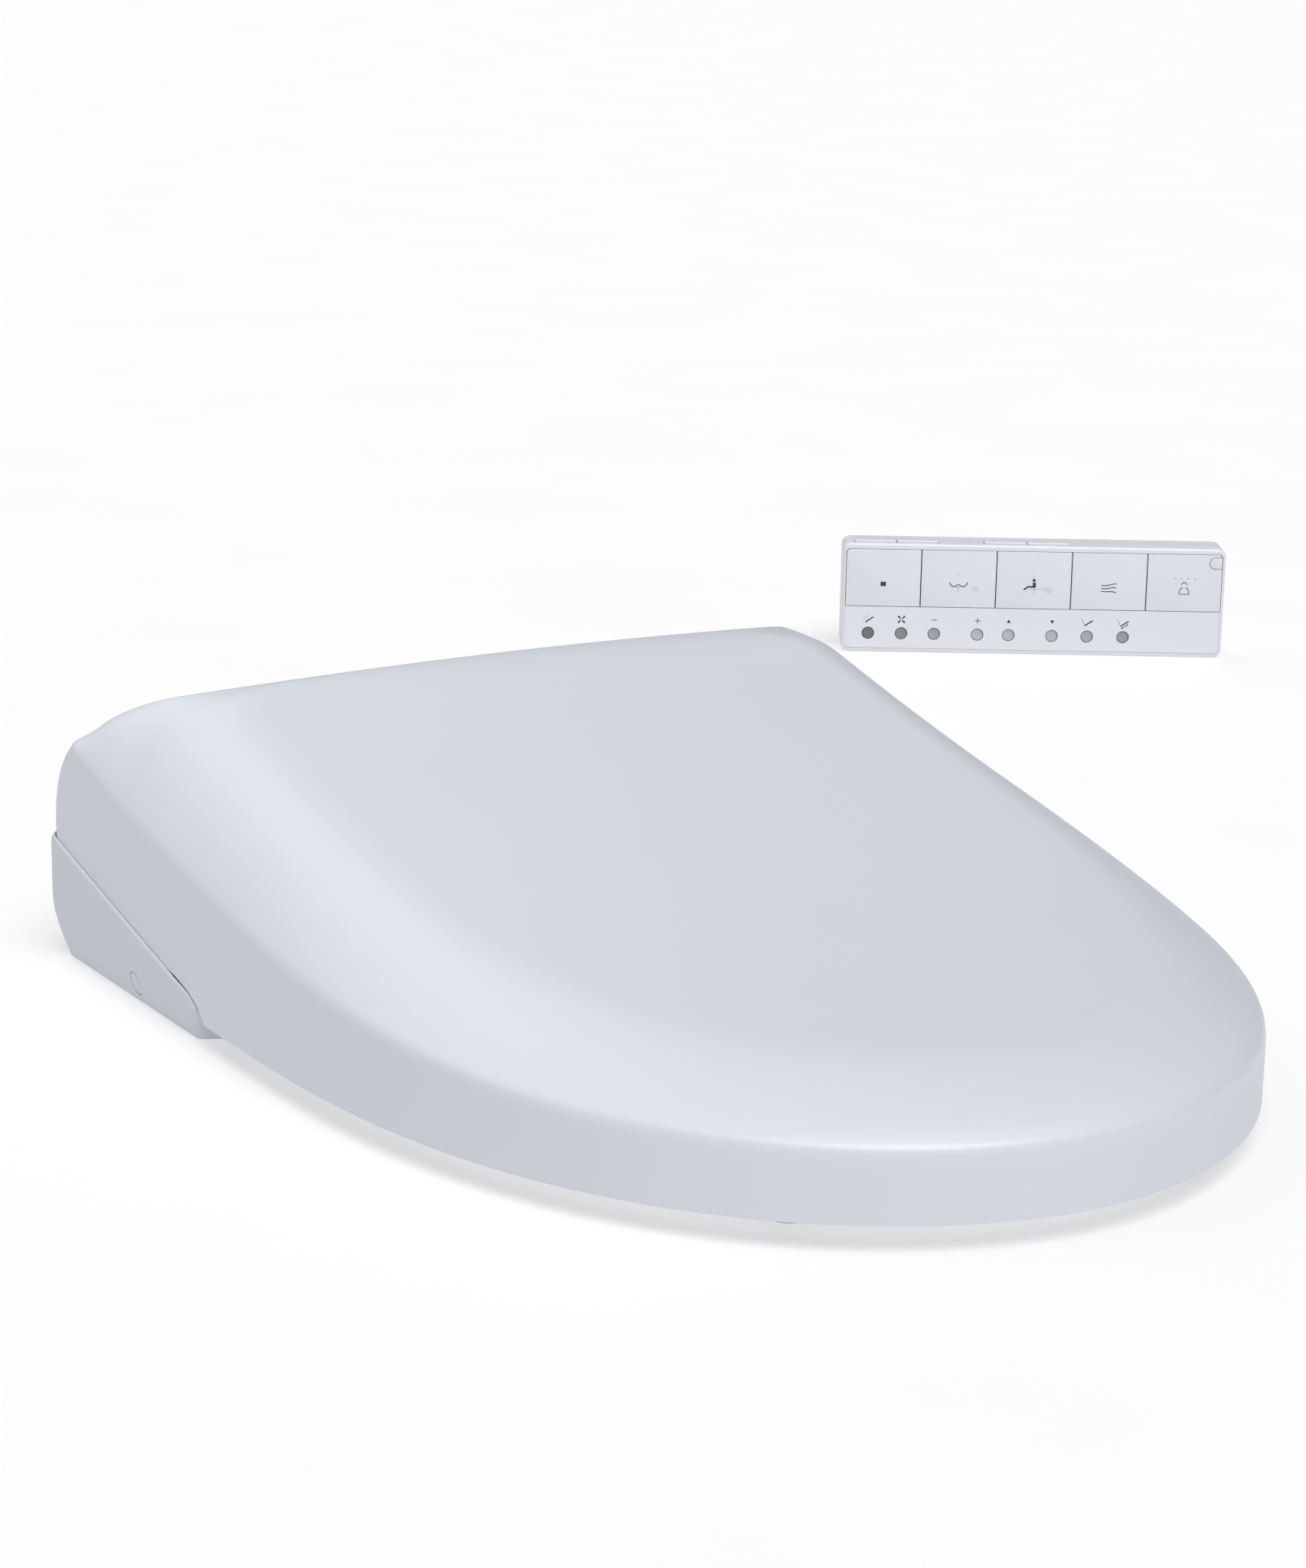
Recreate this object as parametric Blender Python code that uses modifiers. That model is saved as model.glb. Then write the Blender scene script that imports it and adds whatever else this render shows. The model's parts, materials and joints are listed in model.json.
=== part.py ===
"""Electric bidet seat with its remote control, as separate named sub-parts.

Metres, +Z up. The origin is on the underside of the base plate, midway between the two bolts that hold
the plate to the bowl. -Y is the front of the seat, and the lid is shut.
"""

import math

import bmesh
import bpy
import numpy as np
from mathutils import Matrix, Vector

# Overall shape of the lid
LID_HALF = 0.188
LID_FRONT = -0.4048
LID_LENGTH = 0.4698
LID_WIDEST = -0.115
FRONT_POWER = 2.49
SIDE_POWER = 1.92
LID_REAR = 0.0733
REAR_ARC = 0.0619
REAR_CORNER = 0.0085
LID_WALL = 0.003
LID_EDGE = 0.0102
SHOULDER = 0.048
CROWN = 0.0059
CREASE_START = 0.0377
CREASE_RISE = 0.0618
CREASE_POWER = 2.29
CREASE_ANGLE = math.radians(40)
RAMP_START = 0.0458
RAMP_RISE = 0.0891
RAMP_POWER = 1.58
NOTCH_HALF = 0.155
NOTCH_TOP = 0.074
SWING_HALF = 0.154
SWING_Z = 0.0435

# Hinge that the lid and the seat share
HINGE_Y = 0.025
HINGE_Z = 0.066
BOSS_RADIUS = 0.0125
SHAFT_RADIUS = 0.006
SEAT_BOSS = (0.1515, 0.1635)
LID_BOSS = (0.1655, 0.1865)
SHAFT_ENDS = (0.1300, 0.1825)

# Case: a low tray round a deck
CASE_HALF = 0.190
CASE_REAR = 0.0753
CASE_FRONT = -0.0795
CASE_SKIN = 0.0014
CASE_FLOOR = 0.0025
CASE_TAPER = 0.0055
CASE_TAPER_TOP = 0.024
CASE_ROUNDS = (0.010, 0.0035, 0.012)
BEVEL_TURN = 62
BEVEL_LENGTH = 0.008
CHIN_Z = 0.0092
CHIN_Y = -0.060
CHIN_LENGTH = 0.018
SEAM_REAR = 0.0490
SEAM_SLOPE = 0.248
PLINTH_TOP = 0.0115
PLINTH_HALF = 0.152
POCKET_HALF = 0.095
POCKET_TOP = 0.0088
DECK_HALF = 0.148
DECK_WALL = 0.0025
DECK_BARREL = 0.040
DECK_FRONT = -0.062
DECK_BOTTOM = 0.0118
DECK_HEEL = 0.012

# Seat ring
SEAT_INSET = 0.012
SEAT_REAR = -0.068
SEAT_BOTTOM = 0.0107
SEAT_PLATE = 0.0155
SEAT_TOP = 0.0390
OPENING_CENTRE = -0.2175
OPENING_HALF = (0.102, 0.1025)
SEAT_POINTS = 56

# Spray nozzle
NOZZLE_ANGLE = math.radians(25)
NOZZLE_TIP = (0.0, -0.055, 0.0095)
NOZZLE_LENGTH = 0.105
NOZZLE_RADIUS = 0.0055

# Middle of the dryer's fan, level with the hinge
FAN_Y = 0.028

# Base plate
BOLT_HALF = 0.0775
PLATE_HALF = (0.092, 0.038)
PLATE_THICK = 0.0035

# Remote control, in its own frame: X along its width, -Y its front, standing on Z = 0
REMOTE_PLACE = (0.550, 0.350, 0.0)
REMOTE_YAW = math.radians(-32.2)
REMOTE_SIZE = (0.225, 0.025, 0.065)
REMOTE_SPLIT = 0.0020
REMOTE_WALL = 0.0018
PANEL_PITCH = 0.0443
PANEL_ZONE = (0.0273, 0.0618)
BUTTON_X = (-0.0967, -0.0771, -0.0577, -0.0321, -0.0137, 0.0119, 0.0327, 0.0539)
BUTTON_Z = 0.0113
BUTTON_RADIUS = 0.0034
TOP_KEY_X = (-0.0936, -0.0686, -0.0173, 0.0082)
TOP_KEY_LENGTH = 0.0244
TOP_KEY_Y = (-0.0087, -0.0005)

GAP = 0.0003
OVERSHOOT = 0.001


def start():
    """Empty the scene and make the collections for the parts and their cutters."""
    for old in list(bpy.data.objects):
        bpy.data.objects.remove(old, do_unlink=True)
    made = []
    for name in ("electric_bidet_seat", "cutters"):
        made.append(bpy.data.collections.new(name))
        bpy.context.scene.collection.children.link(made[-1])
    return made


PARTS, CUTTERS = start()
COLOURS = {
    "shell": ((0.80, 0.83, 0.87), 0.28, 0.0),
    "seat": ((0.84, 0.86, 0.89), 0.25, 0.0),
    "inner": ((0.62, 0.64, 0.67), 0.45, 0.0),
    "dark": ((0.05, 0.05, 0.055), 0.35, 0.0),
    "metal": ((0.72, 0.73, 0.74), 0.25, 1.0),
    "board": ((0.06, 0.26, 0.14), 0.5, 0.0),
    "rubber": ((0.72, 0.73, 0.75), 0.75, 0.0),
    "key": ((0.50, 0.53, 0.57), 0.4, 0.0),
    "cell": ((0.12, 0.13, 0.15), 0.35, 0.0),
}


def material(kind):
    """Principled material for one kind of surface."""
    found = bpy.data.materials.get(kind)
    if found:
        return found
    colour, roughness, metallic = COLOURS[kind]
    made = bpy.data.materials.new(kind)
    made.use_nodes = True
    shader = made.node_tree.nodes["Principled BSDF"]
    shader.inputs["Base Color"].default_value = (*colour, 1.0)
    shader.inputs["Roughness"].default_value = roughness
    shader.inputs["Metallic"].default_value = metallic
    made.diffuse_color = (*colour, 1.0)
    return made


def add(name, mesh, kind, place=None):
    """Link a mesh as a named part; kind None makes it a cutter."""
    obj = bpy.data.objects.new(name, mesh)
    if place is not None:
        obj.matrix_world = place
    if kind is None:
        hide(obj)
    else:
        mesh.materials.append(material(kind))
        PARTS.objects.link(obj)
    return obj


def hide(obj):
    """Keep an object only as a cutter or as material joined to another."""
    for home in list(obj.users_collection):
        home.objects.unlink(obj)
    CUTTERS.objects.link(obj)
    obj.hide_render = True
    obj.display_type = "WIRE"


def finish_mesh(name, bm, smooth=None):
    """Turn a bmesh into a mesh with outward faces, shaded smooth below the angle given in degrees."""
    bmesh.ops.recalc_face_normals(bm, faces=bm.faces)
    mesh = bpy.data.meshes.new(name)
    bm.to_mesh(mesh)
    bm.free()
    if smooth:
        mesh.shade_smooth()
        mesh.set_sharp_from_angle(angle=math.radians(smooth))
    return mesh


def box(name, low, high, kind=None, bevel=0.0):
    """Box between two corners, with its origin at its centre."""
    low, high = Vector(low), Vector(high)
    bm = bmesh.new()
    bmesh.ops.create_cube(bm, size=1.0)
    bmesh.ops.scale(bm, vec=high - low, verts=bm.verts)
    obj = add(name, finish_mesh(name, bm), kind, Matrix.Translation((low + high) / 2))
    if bevel:
        rounding = obj.modifiers.new("edges", "BEVEL")
        rounding.width = bevel
        rounding.segments = 2
    return obj


def rod(name, start, end, radius, kind=None, sides=24, end_radius=None):
    """Round bar or cone from one point to another."""
    start, end = Vector(start), Vector(end)
    run = end - start
    bm = bmesh.new()
    bmesh.ops.create_cone(
        bm,
        cap_ends=True,
        segments=sides,
        radius1=radius,
        radius2=radius if end_radius is None else end_radius,
        depth=run.length,
    )
    turn = run.to_track_quat("Z", "Y").to_matrix().to_4x4()
    return add(name, finish_mesh(name, bm, 40), kind, Matrix.Translation((start + end) / 2) @ turn)


def plate(name, outline, half, place, kind=None):
    """Flat outline extruded by half its thickness each way, then made a mesh."""
    curve = bpy.data.curves.new(name, "CURVE")
    curve.dimensions = "2D"
    curve.fill_mode = "BOTH"
    curve.extrude = half
    spline = curve.splines.new("POLY")
    spline.points.add(len(outline) - 1)
    for point, (x, y) in zip(spline.points, outline):
        point.co = (x, y, 0.0, 1.0)
    spline.use_cyclic_u = True
    guide = bpy.data.objects.new(name + "_curve", curve)
    PARTS.objects.link(guide)
    depsgraph = bpy.context.evaluated_depsgraph_get()
    mesh = bpy.data.meshes.new_from_object(guide.evaluated_get(depsgraph))
    bpy.data.objects.remove(guide, do_unlink=True)
    bm = bmesh.new()
    bm.from_mesh(mesh)
    bmesh.ops.remove_doubles(bm, verts=bm.verts, dist=1e-6)
    bpy.data.meshes.remove(mesh)
    return add(name, finish_mesh(name, bm, 30), kind, place)


def turned(name, profile, place, kind=None, steps=32):
    """Profile of (radius, height) points, from the top down, turned about Z."""
    mesh = bpy.data.meshes.new(name)
    edges = [(i, i + 1) for i in range(len(profile) - 1)]
    mesh.from_pydata([(r, 0.0, z) for r, z in profile], edges, [])
    obj = add(name, mesh, kind, place)
    screw = obj.modifiers.new("turn", "SCREW")
    screw.axis = "Z"
    screw.steps = steps
    screw.render_steps = steps
    screw.use_merge_vertices = True
    screw.merge_threshold = 1e-5
    return obj


def loft(name, rings, kind=None, closed=False, smooth=35):
    """Skin over rings of equal length, capped at both ends or closed on itself."""
    bm = bmesh.new()
    rows = [[bm.verts.new(tuple(float(c) for c in point)) for point in ring] for ring in rings]
    pairs = list(zip(rows, rows[1:]))
    if closed:
        pairs.append((rows[-1], rows[0]))
    for lower, upper in pairs:
        for i in range(len(lower)):
            j = (i + 1) % len(lower)
            bm.faces.new((lower[i], lower[j], upper[j], upper[i]))
    if not closed:
        bm.faces.new(rows[0])
        bm.faces.new(rows[-1])
    return add(name, finish_mesh(name, bm, smooth), kind)


def boolean(target, operation, others):
    """Cut other objects from the target, or join them to it."""
    for other in others:
        hide(other)
        step = target.modifiers.new(other.name, "BOOLEAN")
        step.operation = operation
        step.solver = "EXACT"
        step.object = other
    return target


def cut(target, *others):
    """Cut other objects from the target."""
    return boolean(target, "DIFFERENCE", others)


def join(target, *others):
    """Join other objects to the target."""
    return boolean(target, "UNION", others)


def hang(name, place, pieces, parent=None):
    """Put an empty on a joint's axis and parent the pieces to it without moving them."""
    empty = bpy.data.objects.new(name, None)
    empty.empty_display_size = 0.02
    PARTS.objects.link(empty)
    empty.matrix_world = Matrix.Translation(place)
    for piece in pieces:
        piece.parent = empty
        piece.matrix_parent_inverse = Matrix.Translation(place).inverted()
    if parent:
        empty.parent = parent
        empty.matrix_parent_inverse = Matrix.Translation(parent.location).inverted()
    return empty


def arc(centre, radius, first, last, count):
    """Points of an arc, angles in degrees."""
    angles = np.radians(np.linspace(first, last, count))
    return [(centre[0] + radius * math.cos(a), centre[1] + radius * math.sin(a)) for a in angles]


YZ_PLANE = Matrix(((0, 0, 1, 0), (1, 0, 0, 0), (0, 1, 0, 0), (0, 0, 0, 1)))
XZ_PLANE = Matrix(((1, 0, 0, 0), (0, 0, -1, 0), (0, 1, 0, 0), (0, 0, 0, 1)))


# ---------------------------------------------------------------- lid surface


def along(y):
    """Share of the lid's length from the front tip, 0 to 1 at the reference line behind the bolts."""
    return np.clip((np.asarray(y, float) - LID_FRONT) / LID_LENGTH, 0.0, 2.0)


def crease_z(y):
    """Height of the edge where the lid's side meets its top."""
    return CREASE_START + CREASE_RISE * along(y) ** CREASE_POWER


def ramp_z(y):
    """Height of the lid's top along its middle, in front of the rear arc."""
    return RAMP_START + RAMP_RISE * along(y) ** RAMP_POWER


def rear_arc_centre():
    """Centre of the arc round the lid's back, tangent to the ramp, and the Y where they meet."""
    meet = 0.0
    for _ in range(40):
        slope = RAMP_RISE * RAMP_POWER / LID_LENGTH * float(along(meet)) ** (RAMP_POWER - 1)
        tilt = math.atan(slope)
        meet = LID_REAR - REAR_ARC * (1 + math.sin(tilt))
    return LID_REAR - REAR_ARC, float(ramp_z(meet)) - REAR_ARC * math.cos(tilt), meet


ARC_Y, ARC_Z, ARC_MEETS = rear_arc_centre()


def top_z(y):
    """Height along the middle of the lid: a ramp, then the rear arc."""
    y = np.asarray(y, float)
    rise = np.sqrt(np.clip(REAR_ARC**2 - (y - ARC_Y) ** 2, 0.0, None))
    return np.where(y > ARC_MEETS, ARC_Z + rise, ramp_z(y))


def seam_z(y):
    """Height of the seam between the lid's side and the case, ending in a rounded chin."""
    line = SEAM_REAR + SEAM_SLOPE * (np.asarray(y, float) - 0.056)
    fall = np.clip((CHIN_Y - np.asarray(y, float)) / CHIN_LENGTH, 0.0, 1.0)
    chin = CHIN_Z + (line - CHIN_Z) * np.sqrt(np.clip(1 - fall**2, 0.0, 1.0))
    return np.where(np.asarray(y, float) > CHIN_Y, line, chin)


def rim(inset, rear, corner, counts=(5, 5, 9, 18)):
    """Closed outline of the lid's plan, moved inwards, with its back cut straight across at rear.

    Returns the points and how much each belongs to the rear wall, 0 on the sides and 1 across the back.
    """
    across, round_corner, side, front = counts
    straight = np.linspace(0.09, LID_WIDEST, 40)
    swing = np.linspace(0.0, math.pi / 2, 60)[1:]
    x = LID_HALF * np.cos(swing)
    share = 1 - (1 - (x / LID_HALF) ** SIDE_POWER) ** (1 / FRONT_POWER)
    y = LID_FRONT + (LID_WIDEST - LID_FRONT) * share
    path = np.vstack(
        [np.column_stack([np.full(40, LID_HALF), straight]), np.column_stack([x, y])]
    )
    slope = np.gradient(path, axis=0)
    normal = np.column_stack([-slope[:, 1], slope[:, 0]])
    normal /= np.linalg.norm(normal, axis=1)[:, None]
    normal[-1] = (0.0, -1.0)
    path = path - normal * inset
    path[-1, 0] = 0.0
    turn = rear - corner
    edge = float(np.interp(-turn, -path[:, 1], path[:, 0]))
    angles = np.linspace(math.pi / 2, 0.0, round_corner + 1)
    back = np.column_stack([np.linspace(0.0, edge - corner, across), np.full(across, rear)])
    bend = np.column_stack([edge - corner + corner * np.cos(angles), turn + corner * np.sin(angles)])
    rest = np.vstack([[edge, turn], path[path[:, 1] < turn - 1e-6]])
    length = np.r_[0.0, np.cumsum(np.linalg.norm(np.diff(rest, axis=0), axis=1))]
    steps = np.linspace(0.0, length[-1], side + front)
    flank = np.column_stack([np.interp(steps, length, rest[:, k]) for k in (0, 1)])
    half = np.vstack([back, bend[1:], flank[1:]])
    weight = np.concatenate([np.ones(across), np.sin(angles[1:]) ** 2, np.zeros(len(flank) - 1)])
    left = half[-2:0:-1] * [-1, 1]
    return np.vstack([half, left]), np.concatenate([weight, weight[-2:0:-1]])


def lid_rings(skin):
    """Rings of the lid from its lower edge to the middle of its top, a skin's depth inside the outside."""
    radius = REAR_ARC - skin
    lowest = math.asin((SEAM_REAR - 0.0015 - ARC_Z) / radius)
    rings = []
    for share in np.linspace(1.0, 0.0, 3):
        angle = CREASE_ANGLE + share * (lowest - CREASE_ANGLE)
        plan, weight = rim(skin, ARC_Y + radius * math.cos(angle), REAR_CORNER)
        tuck = np.where(plan[:, 1] > CHIN_Y + 0.022, 0.0015, -0.0009)
        edge = np.maximum(seam_z(plan[:, 1]) - tuck, LID_EDGE)
        upper = crease_z(plan[:, 1]) - skin
        side = upper + share * (edge - upper)
        back = ARC_Z + radius * math.sin(angle)
        rings.append(np.column_stack([plan, side * (1 - weight) + back * weight]))
    for share in np.linspace(0.0, 1.0, 5)[1:] ** 1.3:
        angle = CREASE_ANGLE + share * (math.pi / 2 - CREASE_ANGLE)
        plan, weight = rim(skin + SHOULDER * share, ARC_Y + radius * math.cos(angle), REAR_CORNER)
        drop = np.clip(top_z(plan[:, 1]) - crease_z(plan[:, 1]), 0.0, None) * (1 - share) ** 2
        crown = CROWN * (1 - (plan[:, 0] / LID_HALF) ** 2)
        side = top_z(plan[:, 1]) - drop - skin
        back = ARC_Z + radius * math.sin(angle)
        rings.append(np.column_stack([plan, side * (1 - weight) + back * weight + crown]))
    last = rings[-1]
    for share in np.linspace(1.0, 0.12, 3)[1:]:
        x = last[:, 0] * share
        y = -0.17 + (last[:, 1] + 0.17) * share
        z = top_z(y) - skin + CROWN * (1 - (x / LID_HALF) ** 2)
        rings.append(np.column_stack([x, y, z]))
    return rings


def build_lid():
    """Lid shell with its two hinge bosses."""
    outer = lid_rings(0.0)
    inner = lid_rings(LID_WALL)
    lid = loft("lid", outer[::-1] + inner, "shell", smooth=25)
    for side in (-1, 1):
        near, far = (side * x for x in LID_BOSS)
        axis = (HINGE_Y, HINGE_Z)
        join(lid, rod(f"lid_boss{side}", (near, *axis), (far, *axis), BOSS_RADIUS))
        bore = rod(f"lid_bore{side}", (side * 0.16, *axis), (side * 0.183, *axis), SHAFT_RADIUS + GAP)
        cut(lid, bore)
    cut(lid, box("lid_notch", (-NOTCH_HALF, 0.045, 0.03), (NOTCH_HALF, 0.09, NOTCH_TOP)))
    bumpers = []
    for name, side in (("lid_bumper_left", -1), ("lid_bumper_right", 1)):
        foot = (side * 0.100, -0.300, SEAT_TOP + GAP)
        bumpers.append(rod(name, foot, (foot[0], foot[1], 0.0500), 0.006, "rubber", 20))
    return [lid, *bumpers]


# ---------------------------------------------------------------- case


def case_ring(z, inset):
    """Plan of the case at one height: straight sides, small rear corners, bevelled front corners."""
    taper = CASE_TAPER * (1 - min(z / CASE_TAPER_TOP, 1.0)) ** 1.4
    side = CASE_HALF - taper - inset
    rear = CASE_REAR - 1.1 * taper - inset
    front = CASE_FRONT + 1.6 * taper + inset
    rear_round, crisp, blend = (radius - inset for radius in CASE_ROUNDS)
    turn = math.radians(BEVEL_TURN)
    run = (-BEVEL_LENGTH * math.sin(turn), -BEVEL_LENGTH * math.cos(turn))
    blend_y = front + blend
    crisp_y = blend_y + (crisp - blend) * math.sin(turn) - run[1]
    blend_x = side - crisp + (crisp - blend) * math.cos(turn) + run[0]
    half = arc((side - rear_round, rear - rear_round), rear_round, 90, 0, 5)
    half += arc((side - crisp, crisp_y), crisp, 0, -BEVEL_TURN, 4)
    half += arc((blend_x, blend_y), blend, -BEVEL_TURN, -90, 3)
    points = half + [(-x, y) for x, y in reversed(half)]
    return [(x, y, z) for x, y in points]


def build_case_lower():
    """Tray of the case: floor, skirt, and the plinth that the deck stands on."""
    heights = (0.0, 0.006, 0.012, 0.018, 0.024, 0.060)
    tray = loft("case_lower", [case_ring(z, 0.0) for z in heights], "shell")
    inside = (CASE_FLOOR, 0.006, 0.012, 0.018, 0.024, 0.062)
    cut(tray, loft("tray_inside", [case_ring(z, CASE_SKIN) for z in inside]))
    join(tray, box("plinth", (-PLINTH_HALF, -0.066, 0.0012), (PLINTH_HALF, 0.066, PLINTH_TOP)))
    chin = np.linspace(CHIN_Y, CHIN_Y - CHIN_LENGTH, 7)
    stations = np.concatenate([np.linspace(0.09, CHIN_Y, 3), chin[1:]])
    seam = [(y, float(seam_z(y))) for y in stations] + [(-0.1, CHIN_Z)]
    cut(tray, plate("above_seam", [(0.09, 0.07), *seam, (-0.1, 0.07)], 0.21, YZ_PLANE))
    cut(tray, box("lid_swing", (-SWING_HALF, 0.070, SWING_Z), (SWING_HALF, 0.080, 0.060)))
    cut(tray, box("seat_room", (-0.178, -0.090, CHIN_Z + GAP), (0.178, -0.058, 0.040)))
    cut(tray, box("plate_pocket", (-POCKET_HALF, -0.045, -OVERSHOOT), (POCKET_HALF, 0.080, POCKET_TOP)))
    cut(tray, box("nozzle_slot", (-0.0075, -0.082, -0.0013), (0.0075, -0.020, 0.0135)))
    cut(tray, box("dryer_slot", (0.0275, -0.082, -0.0017), (0.0585, -0.034, 0.0140)))
    cut(tray, rod("inlet_hole", (0.130, 0.060, 0.0105), (0.130, 0.080, 0.0105), 0.0068))
    cut(tray, rod("cord_hole", (-0.130, 0.060, 0.0105), (-0.130, 0.080, 0.0105), 0.0058))
    cut(tray, rod("drain_hole", (-0.195, -0.011, 0.0087), (-0.180, -0.011, 0.0087), 0.0054))
    cut(tray, rod("release_hole", (0.180, -0.045, 0.0105), (0.195, -0.045, 0.0105), 0.0054))
    return tray


def deck_outline(wall):
    """Side view of the deck, moved inwards by a wall: a barrel round the hinge, then a ramp."""
    radius = DECK_BARREL - wall
    heel = DECK_HEEL - wall
    turn = -math.degrees(math.acos((heel - HINGE_Y) / radius))
    bottom = DECK_BOTTOM if wall == 0 else DECK_BOTTOM - 0.005
    points = [(heel, bottom)] + arc((HINGE_Y, HINGE_Z), radius, turn, 120, 22)
    ramp_end = points[-1][1] - (points[-1][0] - DECK_FRONT - 0.008) * math.tan(math.radians(30))
    points += arc((DECK_FRONT + 0.008, ramp_end - 0.008), 0.008 - wall, 120, 180, 5)
    return points + [(DECK_FRONT + wall, bottom)]


def build_case_upper():
    """Deck that covers the works, with its ports."""
    deck = plate("case_upper", deck_outline(0.0), DECK_HALF, YZ_PLANE, "shell")
    cut(deck, plate("deck_inside", deck_outline(DECK_WALL), DECK_HALF - DECK_WALL, YZ_PLANE))
    cut(deck, box("nozzle_port", (-0.0075, -0.070, 0.0105), (0.0075, -0.055, 0.0157)))
    cut(deck, box("dryer_port", (0.0275, -0.070, 0.0107), (0.0585, -0.055, 0.0152)))
    cut(deck, box("filter_slot", (0.0945, -0.0355, 0.060), (0.1255, -0.0095, 0.120)))
    cut(deck, box("sensor_hole", (0.1177, -0.070, 0.0437), (0.1383, -0.058, 0.0523)))
    for side in (-1, 1):
        ends = [(side * x, HINGE_Y, HINGE_Z) for x in (0.140, 0.152)]
        cut(deck, rod(f"shaft_hole{side}", *ends, SHAFT_RADIUS + GAP))
    return deck


def hollow_box(name, low, high, wall, kind, open_ends):
    """Box with a cavity open at chosen faces, each given as an axis and a side."""
    solid = box(name, low, high, kind)
    inner_low = [a + wall for a in low]
    inner_high = [b - wall for b in high]
    for axis, side in open_ends:
        if side < 0:
            inner_low[axis] = low[axis] - OVERSHOOT
        else:
            inner_high[axis] = high[axis] + OVERSHOOT
    return cut(solid, box(name + "_inside", inner_low, inner_high))


def build_works():
    """Water, air, drive and control pieces inside the deck."""
    tank = hollow_box(
        "water_tank", (-0.096, -0.015, 0.046), (-0.014, 0.046, 0.082), 0.002, "inner", []
    )
    cut(tank, rod("tank_port", (-0.080, 0.015, 0.078), (-0.080, 0.015, 0.086), 0.004))
    valve = box("water_valve", (-0.135, -0.055, 0.014), (-0.105, -0.025, 0.036), "inner", 0.002)
    join(valve, rod("valve_coil", (-0.120, -0.040, 0.034), (-0.120, -0.040, 0.050), 0.010))
    inlet = rod("water_inlet", (0.130, 0.0670, 0.0105), (0.130, 0.0900, 0.0105), 0.0062, "metal")
    cut(inlet, rod("inlet_bore", (0.130, 0.0700, 0.0105), (0.130, 0.0910, 0.0105), 0.0035))
    gland_ends = [(-0.130, y, 0.0105) for y in (0.0670, 0.0820)]
    gland = rod("power_gland", *gland_ends, 0.0054, "dark", end_radius=0.0042)
    house_profile = [
        (0.0, 0.030), (0.030, 0.030), (0.030, 0.056), (0.0285, 0.056), (0.0285, 0.0315), (0.0, 0.0315)
    ]
    centre = Matrix.Translation((0.0, FAN_Y, HINGE_Z))
    sideways = centre @ Matrix.Rotation(math.pi / 2, 4, "Y")
    housing = turned("dryer_fan_housing", house_profile[::-1], sideways, "inner", 28)
    impeller = rod("dryer_impeller", (0.0325, FAN_Y, HINGE_Z), (0.0525, FAN_Y, HINGE_Z), 0.012, "dark")
    for k in range(8):
        blade = box(f"blade_{k}", (0.0330, FAN_Y - 0.001, HINGE_Z + 0.010),
                    (0.0520, FAN_Y + 0.001, HINGE_Z + 0.025))
        spin = centre @ Matrix.Rotation(k * math.pi / 4, 4, "X") @ centre.inverted()
        blade.matrix_world = spin @ blade.matrix_world
        join(impeller, blade)
    slope = Matrix.Rotation(NOZZLE_ANGLE, 4, "X")
    mouth = Matrix.Translation((0.043, -0.0600, 0.0071)) @ slope
    duct = hollow_box("dryer_duct", (-0.0135, 0.0, -0.0034), (0.0135, 0.066, 0.0034), 0.001, "inner",
                      [(1, -1), (1, 1)])
    inside = bpy.data.objects["dryer_duct_inside"]
    for piece in (duct, inside):
        piece.matrix_world = mouth @ piece.matrix_world
    flap = box("dryer_flap", (0.0290, -0.0642, 0.0018), (0.0570, -0.0632, 0.0098), "shell")
    cartridge = box("deodorizer_filter", (0.0950, -0.0350, 0.040), (0.1250, -0.0100, 0.0885), "inner", 0.001)
    board = box("control_board", (0.065, -0.0500, 0.014), (0.143, -0.0484, 0.043), "board")
    window = box("sensor_window", (0.1180, -0.0625, 0.0440), (0.1380, -0.0590, 0.0520), "dark")
    drives = []
    for name, side in (("seat_drive", -1), ("lid_drive", 1)):
        ends = [(side * x, HINGE_Y, HINGE_Z) for x in (0.100, 0.1295)]
        drives.append(rod(name, *ends, 0.014, "inner"))
    shafts = []
    for name, side in (("hinge_shaft_left", -1), ("hinge_shaft_right", 1)):
        ends = [(side * x, HINGE_Y, HINGE_Z) for x in SHAFT_ENDS]
        shafts.append(rod(name, *ends, SHAFT_RADIUS, "metal"))
    plug = rod("drain_plug", (-0.1780, -0.011, 0.0087), (-0.1885, -0.011, 0.0087), 0.0050, "shell")
    button = rod("release_button", (0.1780, -0.045, 0.0105), (0.1895, -0.045, 0.0105), 0.0050, "shell")
    hang("impeller_axis", (0.043, HINGE_Y + 0.003, HINGE_Z), [impeller])
    hang("flap_hinge", (0.043, -0.0637, 0.0098), [flap])
    hang("filter_slide", (0.110, -0.0225, 0.065), [cartridge])
    hang("drain_slide", (-0.183, -0.011, 0.0087), [plug])
    hang("release_slide", (0.184, -0.045, 0.0105), [button])
    return [tank, valve, inlet, gland, housing, duct, board, window, *drives, *shafts]


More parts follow.
